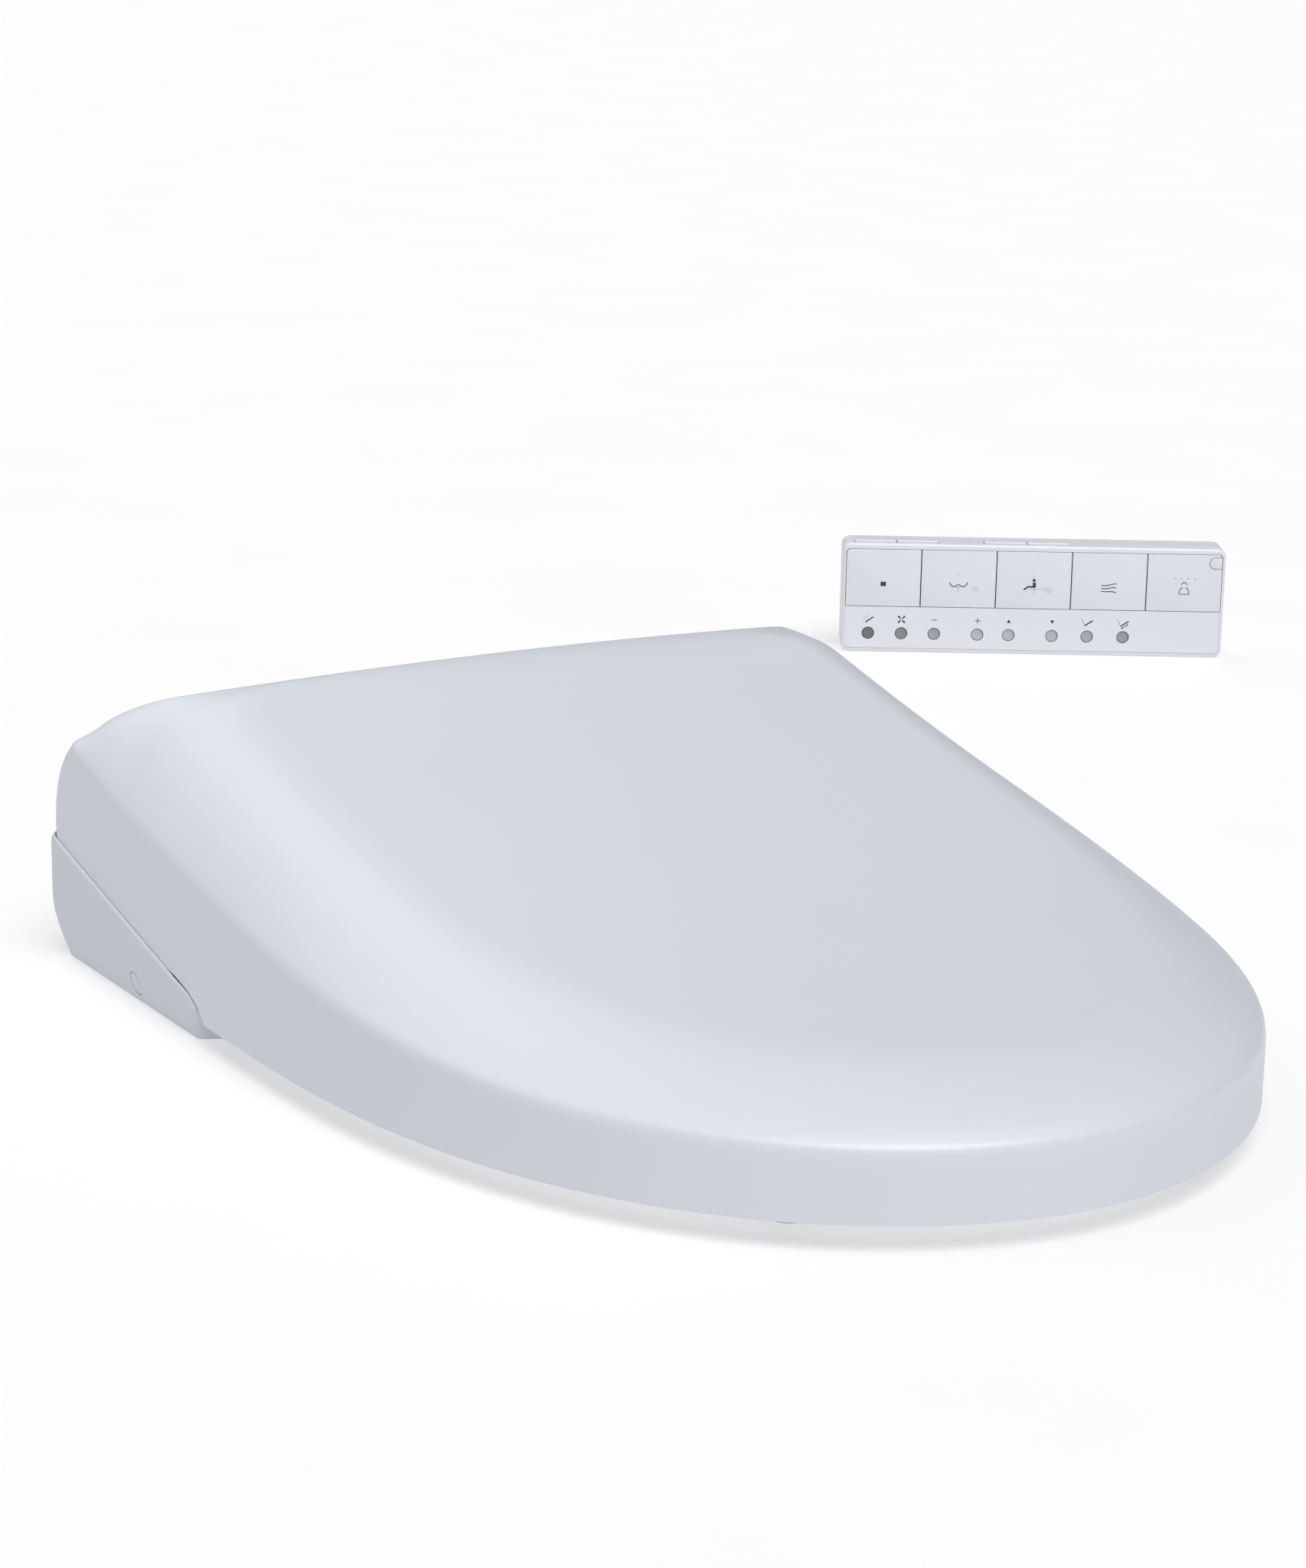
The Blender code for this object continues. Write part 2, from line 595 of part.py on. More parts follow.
def build_nozzle():
    """Spray wand with its tip, in a cradle driven by a small motor."""
    tip = Vector(NOZZLE_TIP)
    back = Vector((0.0, math.cos(NOZZLE_ANGLE), math.sin(NOZZLE_ANGLE)))
    split = tip + back * 0.014
    wand = rod("nozzle_wand", split + back * GAP, tip + back * NOZZLE_LENGTH, NOZZLE_RADIUS, "shell")
    head = rod("nozzle_tip", split, tip, NOZZLE_RADIUS, "metal", 24, NOZZLE_RADIUS - 0.001)
    cut(head, rod("spray_hole", tip + back * 0.006 + Vector((0, 0, 0.002)),
                  tip + back * 0.006 + Vector((0, -0.002, 0.010)), 0.0009, None, 12))
    slope = Matrix.Rotation(NOZZLE_ANGLE, 4, "X")
    middle = tip + back * 0.0485
    cradle = box("nozzle_cradle", (-0.0085, -0.018, -0.0078), (0.0085, 0.018, 0.0078), "inner")
    cradle.matrix_world = Matrix.Translation(middle) @ slope @ cradle.matrix_world
    cut(cradle, rod("cradle_bore", middle - back * 0.03, middle + back * 0.03, NOZZLE_RADIUS + 0.0006))
    rod("nozzle_motor", (0.0105, -0.0200, 0.0330), (0.0245, -0.0200, 0.0330), 0.0090, "metal")
    hang("nozzle_slide", tip, [wand, head])


# ---------------------------------------------------------------- seat


def polar(outline, angles):
    """Distance from the opening's centre to a closed outline, in each direction."""
    offset = np.asarray(outline) - [0.0, OPENING_CENTRE]
    heading = np.arctan2(offset[:, 1], offset[:, 0])
    order = np.argsort(heading)
    return np.interp(angles, heading[order], np.linalg.norm(offset, axis=1)[order], period=2 * math.pi)


def seat_ring(name, section, rear, kind):
    """Ring lofted between the seat's opening, share 0, and its outline, share 1."""
    angles = np.linspace(-math.pi, math.pi, SEAT_POINTS + 1)[:-1]
    outline, _ = rim(SEAT_INSET, rear, 0.020, (9, 7, 20, 40))
    outside = polar(outline, angles)
    wide, long = OPENING_HALF
    inside = wide * long / np.hypot(long * np.cos(angles), wide * np.sin(angles))
    heading = np.column_stack([np.cos(angles), np.sin(angles)])
    rings = []
    for share, z in section:
        reach = inside + (outside - inside) * share
        plan = heading * reach[:, None] + [0.0, OPENING_CENTRE]
        rings.append(np.column_stack([plan, np.full(SEAT_POINTS, z)]))
    return loft(name, rings, kind, closed=True)


def build_seat():
    """Seat ring in two shells with its heater, hinge arms and bumpers."""
    skin = [
        (0.0, 0.0160), (0.0, 0.0310), (0.05, 0.0365), (0.22, 0.0385), (0.60, SEAT_TOP), (0.88, 0.0378),
        (0.97, 0.0345), (1.0, 0.0290), (1.0, 0.0160), (0.96, 0.0160), (0.96, 0.0285), (0.85, 0.0350),
        (0.50, 0.0362), (0.20, 0.0355), (0.08, 0.0335), (0.05, 0.0300), (0.05, 0.0160),
    ]
    upper = seat_ring("seat_upper", skin, SEAT_REAR - 0.004, "seat")
    flat = [(0.0, SEAT_BOTTOM), (1.0, SEAT_BOTTOM), (1.0, SEAT_PLATE), (0.0, SEAT_PLATE)]
    lower = seat_ring("seat_lower", flat, SEAT_REAR, "seat")
    heater = seat_ring("seat_heater", [(0.2, 0.0325), (0.8, 0.0325), (0.8, 0.0330), (0.2, 0.0330)],
                       SEAT_REAR - 0.004, "dark")
    arm = arc((HINGE_Y, HINGE_Z), BOSS_RADIUS, 100, -50, 12)
    arm += [(-0.030, 0.0300), (-0.064, SEAT_BOTTOM), (-0.085, SEAT_BOTTOM), (-0.085, SEAT_PLATE),
            (-0.071, SEAT_PLATE), (-0.071, 0.0340), (-0.045, 0.0540)]
    for side in (-1, 1):
        middle = side * sum(SEAT_BOSS) / 2
        half = (SEAT_BOSS[1] - SEAT_BOSS[0]) / 2
        join(lower, plate(f"seat_arm{side}", arm, half, Matrix.Translation((middle, 0, 0)) @ YZ_PLANE))
        ends = [(side * x, HINGE_Y, HINGE_Z) for x in (0.150, 0.165)]
        cut(lower, rod(f"arm_bore{side}", *ends, SHAFT_RADIUS + GAP))
    bumpers = []
    for name, x, y in (("rear_left", -0.135, -0.170), ("rear_right", 0.135, -0.170),
                       ("front_left", -0.085, -0.335), ("front_right", 0.085, -0.335)):
        top = SEAT_BOTTOM - GAP
        bumpers.append(rod(f"seat_bumper_{name}", (x, y, 0.0), (x, y, top), 0.009, "rubber", 20))
    return [upper, lower, heater, *bumpers]


def build_base_plate():
    """Plate that is bolted to the bowl, and its two sliding bolt plates."""
    half_x, half_y = PLATE_HALF
    base = box("base_plate", (-half_x, -half_y, 0.0), (half_x, half_y, PLATE_THICK), "inner", 0.0006)
    pieces = [base]
    for name, side in (("plate_slider_left", -1), ("plate_slider_right", 1)):
        x = side * BOLT_HALF
        cut(base, box(name + "_slot", (x - 0.0055, -0.020, -0.002), (x + 0.0055, 0.020, 0.006)))
        slider = box(name, (x - 0.012, -0.014, 0.0038), (x + 0.012, 0.014, 0.0063), "metal", 0.0006)
        cut(slider, rod(name + "_hole", (x, 0, 0.002), (x, 0, 0.008), 0.0045, None, 20))
        pieces.append(slider)
    hang("base_plate_slide", (0.0, 0.0, 0.0), pieces)


# ---------------------------------------------------------------- remote control


def rounded(width, height, radius):
    """Rounded rectangle standing on zero, centred sideways."""
    half = width / 2 - radius
    top = height - radius
    points = []
    for x, z, angle in ((half, top, 0), (-half, top, 90), (-half, radius, 180), (half, radius, 270)):
        points += arc((x, z), radius, angle, angle + 90, 5)
    return points


def slab(name, outline, near, far, kind=None):
    """Outline in the remote's face plane, filled between two depths."""
    place = Matrix.Translation((0, (near + far) / 2, 0)) @ XZ_PLANE
    return plate(name, outline, (far - near) / 2, place, kind)


def build_remote():
    """Remote control: two shells, its board, its cells and its keys."""
    width, depth, height = REMOTE_SIZE
    face, back_face = -depth / 2, depth / 2
    outline = rounded(width, height, 0.005)
    inside = [(x * (1 - 2 * REMOTE_WALL / width), REMOTE_WALL + z * (1 - 2 * REMOTE_WALL / height))
              for x, z in outline]
    front = slab("remote_front", outline, face, REMOTE_SPLIT, "shell")
    cut(front, slab("front_inside", inside, face + REMOTE_WALL, REMOTE_SPLIT + OVERSHOOT))
    low, high = PANEL_ZONE
    wide = 2.5 * PANEL_PITCH
    cut(front, box("panel_window", (-wide, face - OVERSHOOT, low), (wide, face + 0.0045, high)))
    back = slab("remote_back", outline, REMOTE_SPLIT + GAP, back_face, "shell")
    cut(back, slab("back_inside", inside, REMOTE_SPLIT - OVERSHOOT, back_face - REMOTE_WALL))
    join(back, box("battery_tub", (-0.0505, -0.0012, 0.0185), (0.0505, back_face - 0.0006, 0.0467)))
    cut(back, box("battery_bay", (-0.0485, -0.0002, 0.0200), (0.0485, back_face + OVERSHOOT, 0.0452)))
    board = box("remote_board", (-0.100, -0.0060, 0.006), (0.100, -0.0045, 0.058), "board")
    cover = box("battery_cover", (-0.054, back_face + GAP, 0.0165), (0.054, back_face + 0.0019, 0.0487),
                "shell", 0.0005)
    cells = []
    for name, z in (("battery_lower", 0.0268), ("battery_upper", 0.0384)):
        cells.append(rod(name, (-0.0222, 0.0058, z), (0.0222, 0.0058, z), 0.0052, "cell"))
    window_shape = arc((0.1065, 0.0565), 0.0033, 90, 270, 8) + [(0.1104, 0.0532), (0.1104, 0.0598)]
    window = slab("remote_ir_window", window_shape, face - 0.0001, face + 0.0025, "shell")
    keys = []
    for k in range(5):
        x = (k - 2) * PANEL_PITCH
        reach = PANEL_PITCH / 2 - GAP
        corners = [(x - reach, face - 0.0002, low + GAP), (x + reach, face + 0.0026, high - GAP)]
        key = box(f"panel_key_{k + 1}", *corners, "shell", 0.0003)
        keys.append((key, (x, face, (low + high) / 2)))
    notch = arc((0.1065, 0.0565), 0.0036, 90, 270, 8) + [(0.1130, 0.0529), (0.1130, 0.0601)]
    notch_cutter = slab("window_notch", notch, face - 0.002, face + 0.004)
    cut(keys[-1][0], notch_cutter)
    for k, x in enumerate(BUTTON_X):
        hole = [(x, face - 0.001, BUTTON_Z), (x, face + 0.003, BUTTON_Z)]
        cut(front, rod(f"button_hole_{k + 1}", *hole, BUTTON_RADIUS + GAP))
        ends = [(x, face + 0.0006, BUTTON_Z), (x, face + 0.0036, BUTTON_Z)]
        key = rod(f"round_button_{k + 1}", *ends, BUTTON_RADIUS, "key")
        keys.append((key, (x, face, BUTTON_Z)))
    for k, x in enumerate(TOP_KEY_X):
        reach = TOP_KEY_LENGTH / 2
        near, far = TOP_KEY_Y
        slot = [(x - reach - GAP, near - GAP, height - 0.004), (x + reach + GAP, far + GAP, height + 0.001)]
        cut(front, box(f"top_slot_{k + 1}", *slot))
        corners = [(x - reach, near, height - 0.0035), (x + reach, far, height + 0.0012)]
        key = box(f"top_key_{k + 1}", *corners, "shell", 0.0004)
        keys.append((key, (x, -0.005, height)))
    stand = bpy.data.objects.new("remote_stand", None)
    PARTS.objects.link(stand)
    stand.location = REMOTE_PLACE
    stand.rotation_euler = (0.0, 0.0, REMOTE_YAW)
    fixed = [front, back, board, window, *cells, cover]
    fixed += [step.object for step in front.modifiers] + [step.object for step in back.modifiers]
    fixed.append(notch_cutter)
    for piece in fixed:
        piece.parent = stand
    for key, place in keys:
        guide = bpy.data.objects.new(key.name + "_guide", None)
        guide.empty_display_size = 0.005
        PARTS.objects.link(guide)
        guide.location = place
        guide.parent = stand
        key.parent = guide
        key.matrix_parent_inverse = Matrix.Translation(place).inverted()


def build():
    """Make every sub-part and hang the moving ones on their joints."""
    build_case_lower()
    build_case_upper()
    build_works()
    build_nozzle()
    build_base_plate()
    seat_hinge = hang("seat_hinge", (0.0, HINGE_Y, HINGE_Z), build_seat())
    hang("lid_hinge", (0.0, HINGE_Y, HINGE_Z), build_lid(), seat_hinge)
    build_remote()


build()
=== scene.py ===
"""Looks of the electric bidet seat and its remote control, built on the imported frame."""

import json
import math

import bmesh
import bpy
import numpy as np
from mathutils import Matrix, Vector


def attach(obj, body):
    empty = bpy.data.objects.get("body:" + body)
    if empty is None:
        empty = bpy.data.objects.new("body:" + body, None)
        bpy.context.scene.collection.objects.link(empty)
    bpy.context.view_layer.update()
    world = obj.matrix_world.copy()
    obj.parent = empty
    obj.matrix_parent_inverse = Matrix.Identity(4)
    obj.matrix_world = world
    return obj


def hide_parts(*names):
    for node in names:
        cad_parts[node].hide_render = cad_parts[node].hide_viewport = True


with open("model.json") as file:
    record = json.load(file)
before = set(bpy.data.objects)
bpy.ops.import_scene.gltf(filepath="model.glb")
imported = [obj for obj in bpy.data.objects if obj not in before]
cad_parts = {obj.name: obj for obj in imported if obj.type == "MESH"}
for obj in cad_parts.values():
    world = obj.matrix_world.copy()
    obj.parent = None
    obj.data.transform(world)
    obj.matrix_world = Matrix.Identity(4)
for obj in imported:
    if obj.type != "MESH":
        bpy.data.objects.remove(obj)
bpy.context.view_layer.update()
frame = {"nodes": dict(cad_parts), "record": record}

# Camera: place in metres, turn in degrees, lens and sensor width in millimetres, far limit in metres
CAMERA_PLACE = (-0.7545, -1.3034, 0.4626)
CAMERA_TURN = (75.30, -0.99, -31.96)
CAMERA_LENS = 82.66
CAMERA_SENSOR = 36.0
CAMERA_REACH = 200

# Lid, with the CAD model's numbers except at its crease, its rear corners and its bosses' inner ends
LID_HALF = 0.188
LID_FRONT = -0.4048
LID_LENGTH = 0.4698
LID_WIDEST = -0.115
FRONT_POWER = 2.49
SIDE_POWER = 1.92
LID_REAR = 0.0733
REAR_ARC = 0.0619
REAR_CORNER = 0.0085
LID_WALL = 0.003
LID_EDGE = 0.0102
CROWN = 0.0059
CREASE_START = 0.0377
CREASE_RISE = 0.0618
CREASE_POWER = 2.29
RAMP_START = 0.0458
RAMP_RISE = 0.0891
RAMP_POWER = 1.58
NOTCH_HALF = 0.155
NOTCH_TOP = 0.074
NOTCH_BLEND = 0.006
SEAM_Y = 0.056
SEAM_REAR = 0.0490
SEAM_SLOPE = 0.248
CHIN_Z = 0.0092
CHIN_Y = -0.060
CHIN_LENGTH = 0.018
SWING_HALF = 0.154
SWING_Z = 0.0435
HINGE = (0.025, 0.066)
LID_BOSS = (0.1655, 0.1855)
BOSS_RADIUS = 0.0125
BORE_RADIUS = 0.0063
BOSS_CHAMFER = 0.001
BOSS_END = 0.003
BOSS_VENT = 0.002
LID_COUNTS = (20, 10, 34, 70)
LID_OUTER_STEPS = (7, 8, 16, 16)
LID_INNER_STEPS = (5, 5, 10, 12)

# Lid's soft crease and rear corners. The corner grows rounder from REAR_CORNER at the edge to
# REAR_CORNER + SIDE_CORNER at the crease, and by TOP_CORNER more at the top.
SHOULDER = 0.048
SHOULDER_POWER = 2.0
SHOULDER_SWELL = 2.4
SWELL_START = 0.015
SWELL_SPAN = 0.04
CREASE_SHARE = 0.5
CREASE_BAND = 0.08
CREASE_LIFT = 0.003
LIFT_START = 0.03
LIFT_SPAN = 0.03
SIDE_CORNER = 0.009
TOP_CORNER = 0.024
FILLET_DEPTH = 0.0030
SOFT_REAR = 0.0012
SOFT_RISE = 0.0048
SOFT_POWER = 1.2
EDGE_TUCK = 0.0015
CHIN_OVERHANG = 0.0009
TUCK_START = 0.012
TUCK_SPAN = 0.01
PLATEAU_Y = -0.17

# Case and deck, as in the CAD model except for the case's rounded rim
CASE_HALF = 0.190
CASE_REAR = 0.0753
CASE_FRONT = -0.0795
CASE_FLOOR = 0.0025
CASE_TAPER = 0.0055
CASE_TAPER_TOP = 0.024
CASE_TAPER_POWER = 1.4
REAR_LEAN = 1.1
FRONT_LEAN = 1.6
FRONT_CUT_HALF = 0.178
CASE_ROUNDS = (0.010, 0.0035, 0.012)
BEVEL_TURN = math.radians(62)
BEVEL_LENGTH = 0.008
CASE_SKIN = 0.0014
CASE_LEDGE = 0.0019
EDGE_DROP = 0.0028
CASE_FOOT = 0.0006
PLINTH_LOW = (-0.152, -0.066, 0.0012)
PLINTH_HIGH = (0.152, 0.066, 0.0115)
POCKET_HALF = 0.095
POCKET_TOP = 0.0088
DECK_HALF = 0.148
DECK_WALL = 0.0025
DECK_BARREL = 0.040
DECK_FRONT = -0.062
DECK_BOTTOM = 0.0118
DECK_HEEL = 0.012
DECK_NOSE = 0.008
DECK_TURN = math.radians(120)
DECK_RAMP = math.radians(30)
GAP = 0.0003

# Openings in the case and the deck: X range of the two that they share, ports, round holes and caps
NOZZLE_SLOT = (-0.0075, 0.0075)
DRYER_SLOT = (0.0275, 0.0585)
CARTRIDGE_PORT = ((0.0945, -0.0355, 0.060), (0.1255, -0.0095, 0.120))
SENSOR_PORT = ((0.1177, -0.070, 0.0437), (0.1383, -0.058, 0.0523))
PIPE_X = 0.130
PIPE_Z = 0.0105
INLET_HOLE = 0.0068
CORD_HOLE = 0.0058
DRAIN_CAP = (-0.011, 0.0087)
RELEASE_CAP = (-0.045, 0.0105)
CAP_INNER = 0.1780
CAP_RADIUS = 0.0050
CAP_HOLE = 0.00513
CAP_ROUND = 0.0004

# Seat ring, as in the CAD model
SEAT_INSET = 0.012
SEAT_REAR = -0.072
SEAT_CORNER = 0.020
OPENING_CENTRE = -0.2175
OPENING_HALF = (0.102, 0.1025)
SEAT_POINTS = 180
SEAT_COUNTS = (30, 24, 60, 120)

# Remote control, in its own frame: X along its width, -Y its front, standing on Z = 0
REMOTE_PLACE = (0.550, 0.350, 0.0)
REMOTE_YAW = math.radians(-32.2)
REMOTE_SIZE = (0.225, 0.025, 0.065)
REMOTE_SPLIT = 0.0020
REMOTE_WALL = 0.0018
REMOTE_CORNER = 0.005
REMOTE_EDGE = 0.0016
REMOTE_GROOVE = 0.00035
PANEL_PITCH = 0.0443
PANEL_ZONE = (0.0273, 0.0618)
PANEL_CORNER = 0.0025
PANEL_RAISE = 0.0002
WINDOW = (0.1065, 0.0565)
BUTTON_X = (-0.0967, -0.0771, -0.0577, -0.0321, -0.0137, 0.0119, 0.0327, 0.0539)
BUTTON_GREYS = (0.16, 0.24, 0.34, 0.46, 0.46, 0.44, 0.38, 0.30)
BUTTON_Z = 0.0113
BUTTON_RADIUS = 0.0034
BUTTON_SECTION = (
    (0.0036, 0.02), (0.0036, 0.8), (0.0034, 1.0), (0.0009, 1.0), (0.0006, 0.95), (0.0007, 0.8), (0.0009, 0.3)
)
TOP_KEY_X = (-0.0936, -0.0686, -0.0173, 0.0082)
TOP_KEY_LENGTH = 0.0244
TOP_KEY_Y = (-0.0087, -0.0005)

# Printed symbols: thickness of the ink, and heights of the panel keys' and the round buttons' symbols
INK = 0.00005
PANEL_SYMBOL_Z = 0.0409
BUTTON_SYMBOL_Z = 0.0197

# Pale floor: its half width, its height, its colour and how much it glows
FLOOR_HALF = 60
FLOOR_Z = -0.0004
FLOOR_COLOUR = (0.40, 0.40, 0.40)
FLOOR_GLOW = 0.54

# Dim surround, and soft lights far away: the direction each comes from, its width in degrees, its
# strength and its colour
WORLD_COLOUR = (0.96, 0.98, 1.0, 1)
WORLD_LIGHT = 0.06
LIGHTS = (
    ("front", (-0.10, -0.50, 0.85), 45, 2.85, (1.0, 0.997, 0.99)),
    ("left", (-0.60, 0.30, 0.70), 40, 0.45, (1.0, 1.0, 1.0)),
    ("over", (-0.12, 0.56, 0.81), 35, 0.30, (1.0, 1.0, 1.0)),
    ("back", (0.10, 0.85, 0.50), 40, 0.38, (1.0, 1.0, 1.0)),
)

# ---------------------------------------------------------------- materials


def new_material(name):
    """Empty Principled material: its nodes, its links and its shader."""
    made = bpy.data.materials.new(name)
    made.use_nodes = True
    nodes = made.node_tree.nodes
    return made, nodes, made.node_tree.links, nodes["Principled BSDF"]


def plastic(name, colour, rough=0.3, coat=0.25, grain=900.0, bump=0.02, mottle=0.02,
            spread=0.05, coat_rough=0.12):
    """Moulded plastic: faint cloudy colour, uneven gloss and a fine skin texture."""
    made, nodes, links, shader = new_material(name)
    shader.inputs["Coat Weight"].default_value = coat
    shader.inputs["Coat Roughness"].default_value = coat_rough
    place = nodes.new("ShaderNodeTexCoord")
    cloud = nodes.new("ShaderNodeTexNoise")
    cloud.inputs["Scale"].default_value = 6.0
    cloud.inputs["Detail"].default_value = 3.0
    links.new(place.outputs["Object"], cloud.inputs["Vector"])
    tint = nodes.new("ShaderNodeValToRGB")
    tint.color_ramp.elements[0].position = 0.3
    tint.color_ramp.elements[1].position = 0.7
    tint.color_ramp.elements[0].color = (*[c * (1 - mottle) for c in colour], 1)
    tint.color_ramp.elements[1].color = (*[min(c * (1 + mottle), 1) for c in colour], 1)
    links.new(cloud.outputs["Fac"], tint.inputs["Fac"])
    links.new(tint.outputs["Color"], shader.inputs["Base Color"])
    gloss = nodes.new("ShaderNodeMapRange")
    gloss.inputs["To Min"].default_value = max(rough - spread, 0.02)
    gloss.inputs["To Max"].default_value = rough + spread
    links.new(cloud.outputs["Fac"], gloss.inputs["Value"])
    links.new(gloss.outputs["Result"], shader.inputs["Roughness"])
    skin = nodes.new("ShaderNodeTexNoise")
    skin.inputs["Scale"].default_value = grain
    skin.inputs["Detail"].default_value = 2.0
    links.new(place.outputs["Object"], skin.inputs["Vector"])
    relief = nodes.new("ShaderNodeBump")
    relief.inputs["Strength"].default_value = bump
    relief.inputs["Distance"].default_value = 0.0004
    links.new(skin.outputs["Fac"], relief.inputs["Height"])
    links.new(relief.outputs["Normal"], shader.inputs["Normal"])
    return made


def steel(name, colour, rough, stretch):
    """Turned steel: fine lines stretched along one axis."""
    made, nodes, links, shader = new_material(name)
    shader.inputs["Metallic"].default_value = 1.0
    shader.inputs["Base Color"].default_value = (*colour, 1)
    place = nodes.new("ShaderNodeTexCoord")
    mapping = nodes.new("ShaderNodeMapping")
    mapping.inputs["Scale"].default_value = stretch
    links.new(place.outputs["Object"], mapping.inputs["Vector"])
    lines = nodes.new("ShaderNodeTexNoise")
    lines.inputs["Scale"].default_value = 300.0
    lines.inputs["Detail"].default_value = 4.0
    links.new(mapping.outputs["Vector"], lines.inputs["Vector"])
    gloss = nodes.new("ShaderNodeMapRange")
    gloss.inputs["To Min"].default_value = rough * 0.7
    gloss.inputs["To Max"].default_value = rough * 1.4
    links.new(lines.outputs["Fac"], gloss.inputs["Value"])
    links.new(gloss.outputs["Result"], shader.inputs["Roughness"])
    relief = nodes.new("ShaderNodeBump")
    relief.inputs["Strength"].default_value = 0.08
    relief.inputs["Distance"].default_value = 0.0003
    links.new(lines.outputs["Fac"], relief.inputs["Height"])
    links.new(relief.outputs["Normal"], shader.inputs["Normal"])
    return made


MATERIALS = {
    "lid": plastic("lid_plastic", (0.635, 0.668, 0.730), rough=0.42, coat=0.5, bump=0.012,
                   mottle=0.008, spread=0.02, coat_rough=0.48),
    "case": plastic("case_plastic", (0.58, 0.62, 0.68), rough=0.42, coat=0.10, grain=1400,
                    bump=0.03, mottle=0.01),
    "seat": plastic("seat_plastic", (0.74, 0.77, 0.82), rough=0.30, coat=0.3, bump=0.01, mottle=0.008),
    "remote": plastic("remote_plastic", (0.72, 0.745, 0.79), rough=0.40, coat=0.1, grain=1600,
                      bump=0.03, mottle=0.006),
    "inner": plastic("inner_plastic", (0.55, 0.57, 0.60), rough=0.5, coat=0.0, grain=700,
                     bump=0.10, mottle=0.04),
    "dark": plastic("dark_plastic", (0.02, 0.02, 0.024), rough=0.18, coat=0.5, bump=0.01, mottle=0.1),
    "board": plastic("circuit_board", (0.03, 0.20, 0.09), rough=0.4, coat=0.4, grain=260,
                     bump=0.25, mottle=0.25),
    "rubber": plastic("rubber_feet", (0.60, 0.61, 0.63), rough=0.75, coat=0.0, grain=1100,
                      bump=0.15, mottle=0.03),
    "cell": plastic("cell_sleeve", (0.05, 0.055, 0.07), rough=0.3, coat=0.3, bump=0.02, mottle=0.15),
    "metal": steel("turned_steel", (0.72, 0.73, 0.74), 0.24, (1, 30, 30)),
}


# ---------------------------------------------------------------- mesh helpers


def mesh_piece(name, rows, material=None, closed=False, smooth=40):
    """Skin over rings of equal length, with its ends filled or, if closed, joined to each other."""
    bm = bmesh.new()
    verts = [[bm.verts.new(tuple(float(c) for c in point)) for point in ring] for ring in rows]
    pairs = list(zip(verts, verts[1:]))
    if closed:
        pairs.append((verts[-1], verts[0]))
    for lower, upper in pairs:
        for i in range(len(lower)):
            j = (i + 1) % len(lower)
            bm.faces.new((lower[i], lower[j], upper[j], upper[i]))
    if not closed:
        bm.faces.new(verts[0])
        bm.faces.new(verts[-1])
    bmesh.ops.recalc_face_normals(bm, faces=bm.faces)
    mesh = bpy.data.meshes.new(name)
    bm.to_mesh(mesh)
    bm.free()
    mesh.shade_smooth()
    mesh.set_sharp_from_angle(angle=math.radians(smooth))
    if material:
        mesh.materials.append(material)
    return place_object(name, mesh)


def place_object(name, data):
    """New object in the scene."""
    made = bpy.data.objects.new(name, data)
    bpy.context.scene.collection.objects.link(made)
    return made


def arc(centre, radius, first, last, count):
    """Points of an arc, angles in radians."""
    angles = np.linspace(first, last, count)
    return [(centre[0] + radius * math.cos(a), centre[1] + radius * math.sin(a)) for a in angles]


def circle(centre, radius, count=48):
    """Points of a full circle."""
    return arc(centre, radius, 0, 2 * math.pi, count + 1)[:-1]


# ---------------------------------------------------------------- lid


def along(y):
    """How far back along the lid a Y lies, from 0 at its front."""
    return np.clip((np.asarray(y, float) - LID_FRONT) / LID_LENGTH, 0.0, 2.0)


def crease_z(y):
    """Height of the crease round the lid."""
    lift = CREASE_LIFT * np.clip((np.asarray(y, float) - LIFT_START) / LIFT_SPAN, 0, 1) ** 2
    return CREASE_START + CREASE_RISE * along(y) ** CREASE_POWER + lift


def ramp_z(y):
    """Height of the lid's long slope."""
    return RAMP_START + RAMP_RISE * along(y) ** RAMP_POWER


def rear_arc_centre():
    """Centre of the arc round the lid's back, tangent to the ramp, and the Y where they meet."""
    meet = 0.0
    for _ in range(40):
        slope = RAMP_RISE * RAMP_POWER / LID_LENGTH * float(along(meet)) ** (RAMP_POWER - 1)
        tilt = math.atan(slope)
        meet = LID_REAR - REAR_ARC * (1 + math.sin(tilt))
    return LID_REAR - REAR_ARC, float(ramp_z(meet)) - REAR_ARC * math.cos(tilt), meet


ARC_Y, ARC_Z, ARC_MEETS = rear_arc_centre()


def top_z(y):
    """Height of the lid's top: the slope, then the arc round its back."""
    y = np.asarray(y, float)
    rise = np.sqrt(np.clip(REAR_ARC**2 - (y - ARC_Y) ** 2, 0.0, None))
    return np.where(y > ARC_MEETS, ARC_Z + rise, ramp_z(y))


def seam_z(y):
    """Height of the seam between lid and case, which falls in a curve at the case's front."""
    y = np.asarray(y, float)
    line = SEAM_REAR + SEAM_SLOPE * (y - SEAM_Y)
    fall = np.clip((CHIN_Y - y) / CHIN_LENGTH, 0.0, 1.0)
    chin = CHIN_Z + (line - CHIN_Z) * np.sqrt(np.clip(1 - fall**2, 0.0, 1.0))
    return np.where(y > CHIN_Y, line, chin)


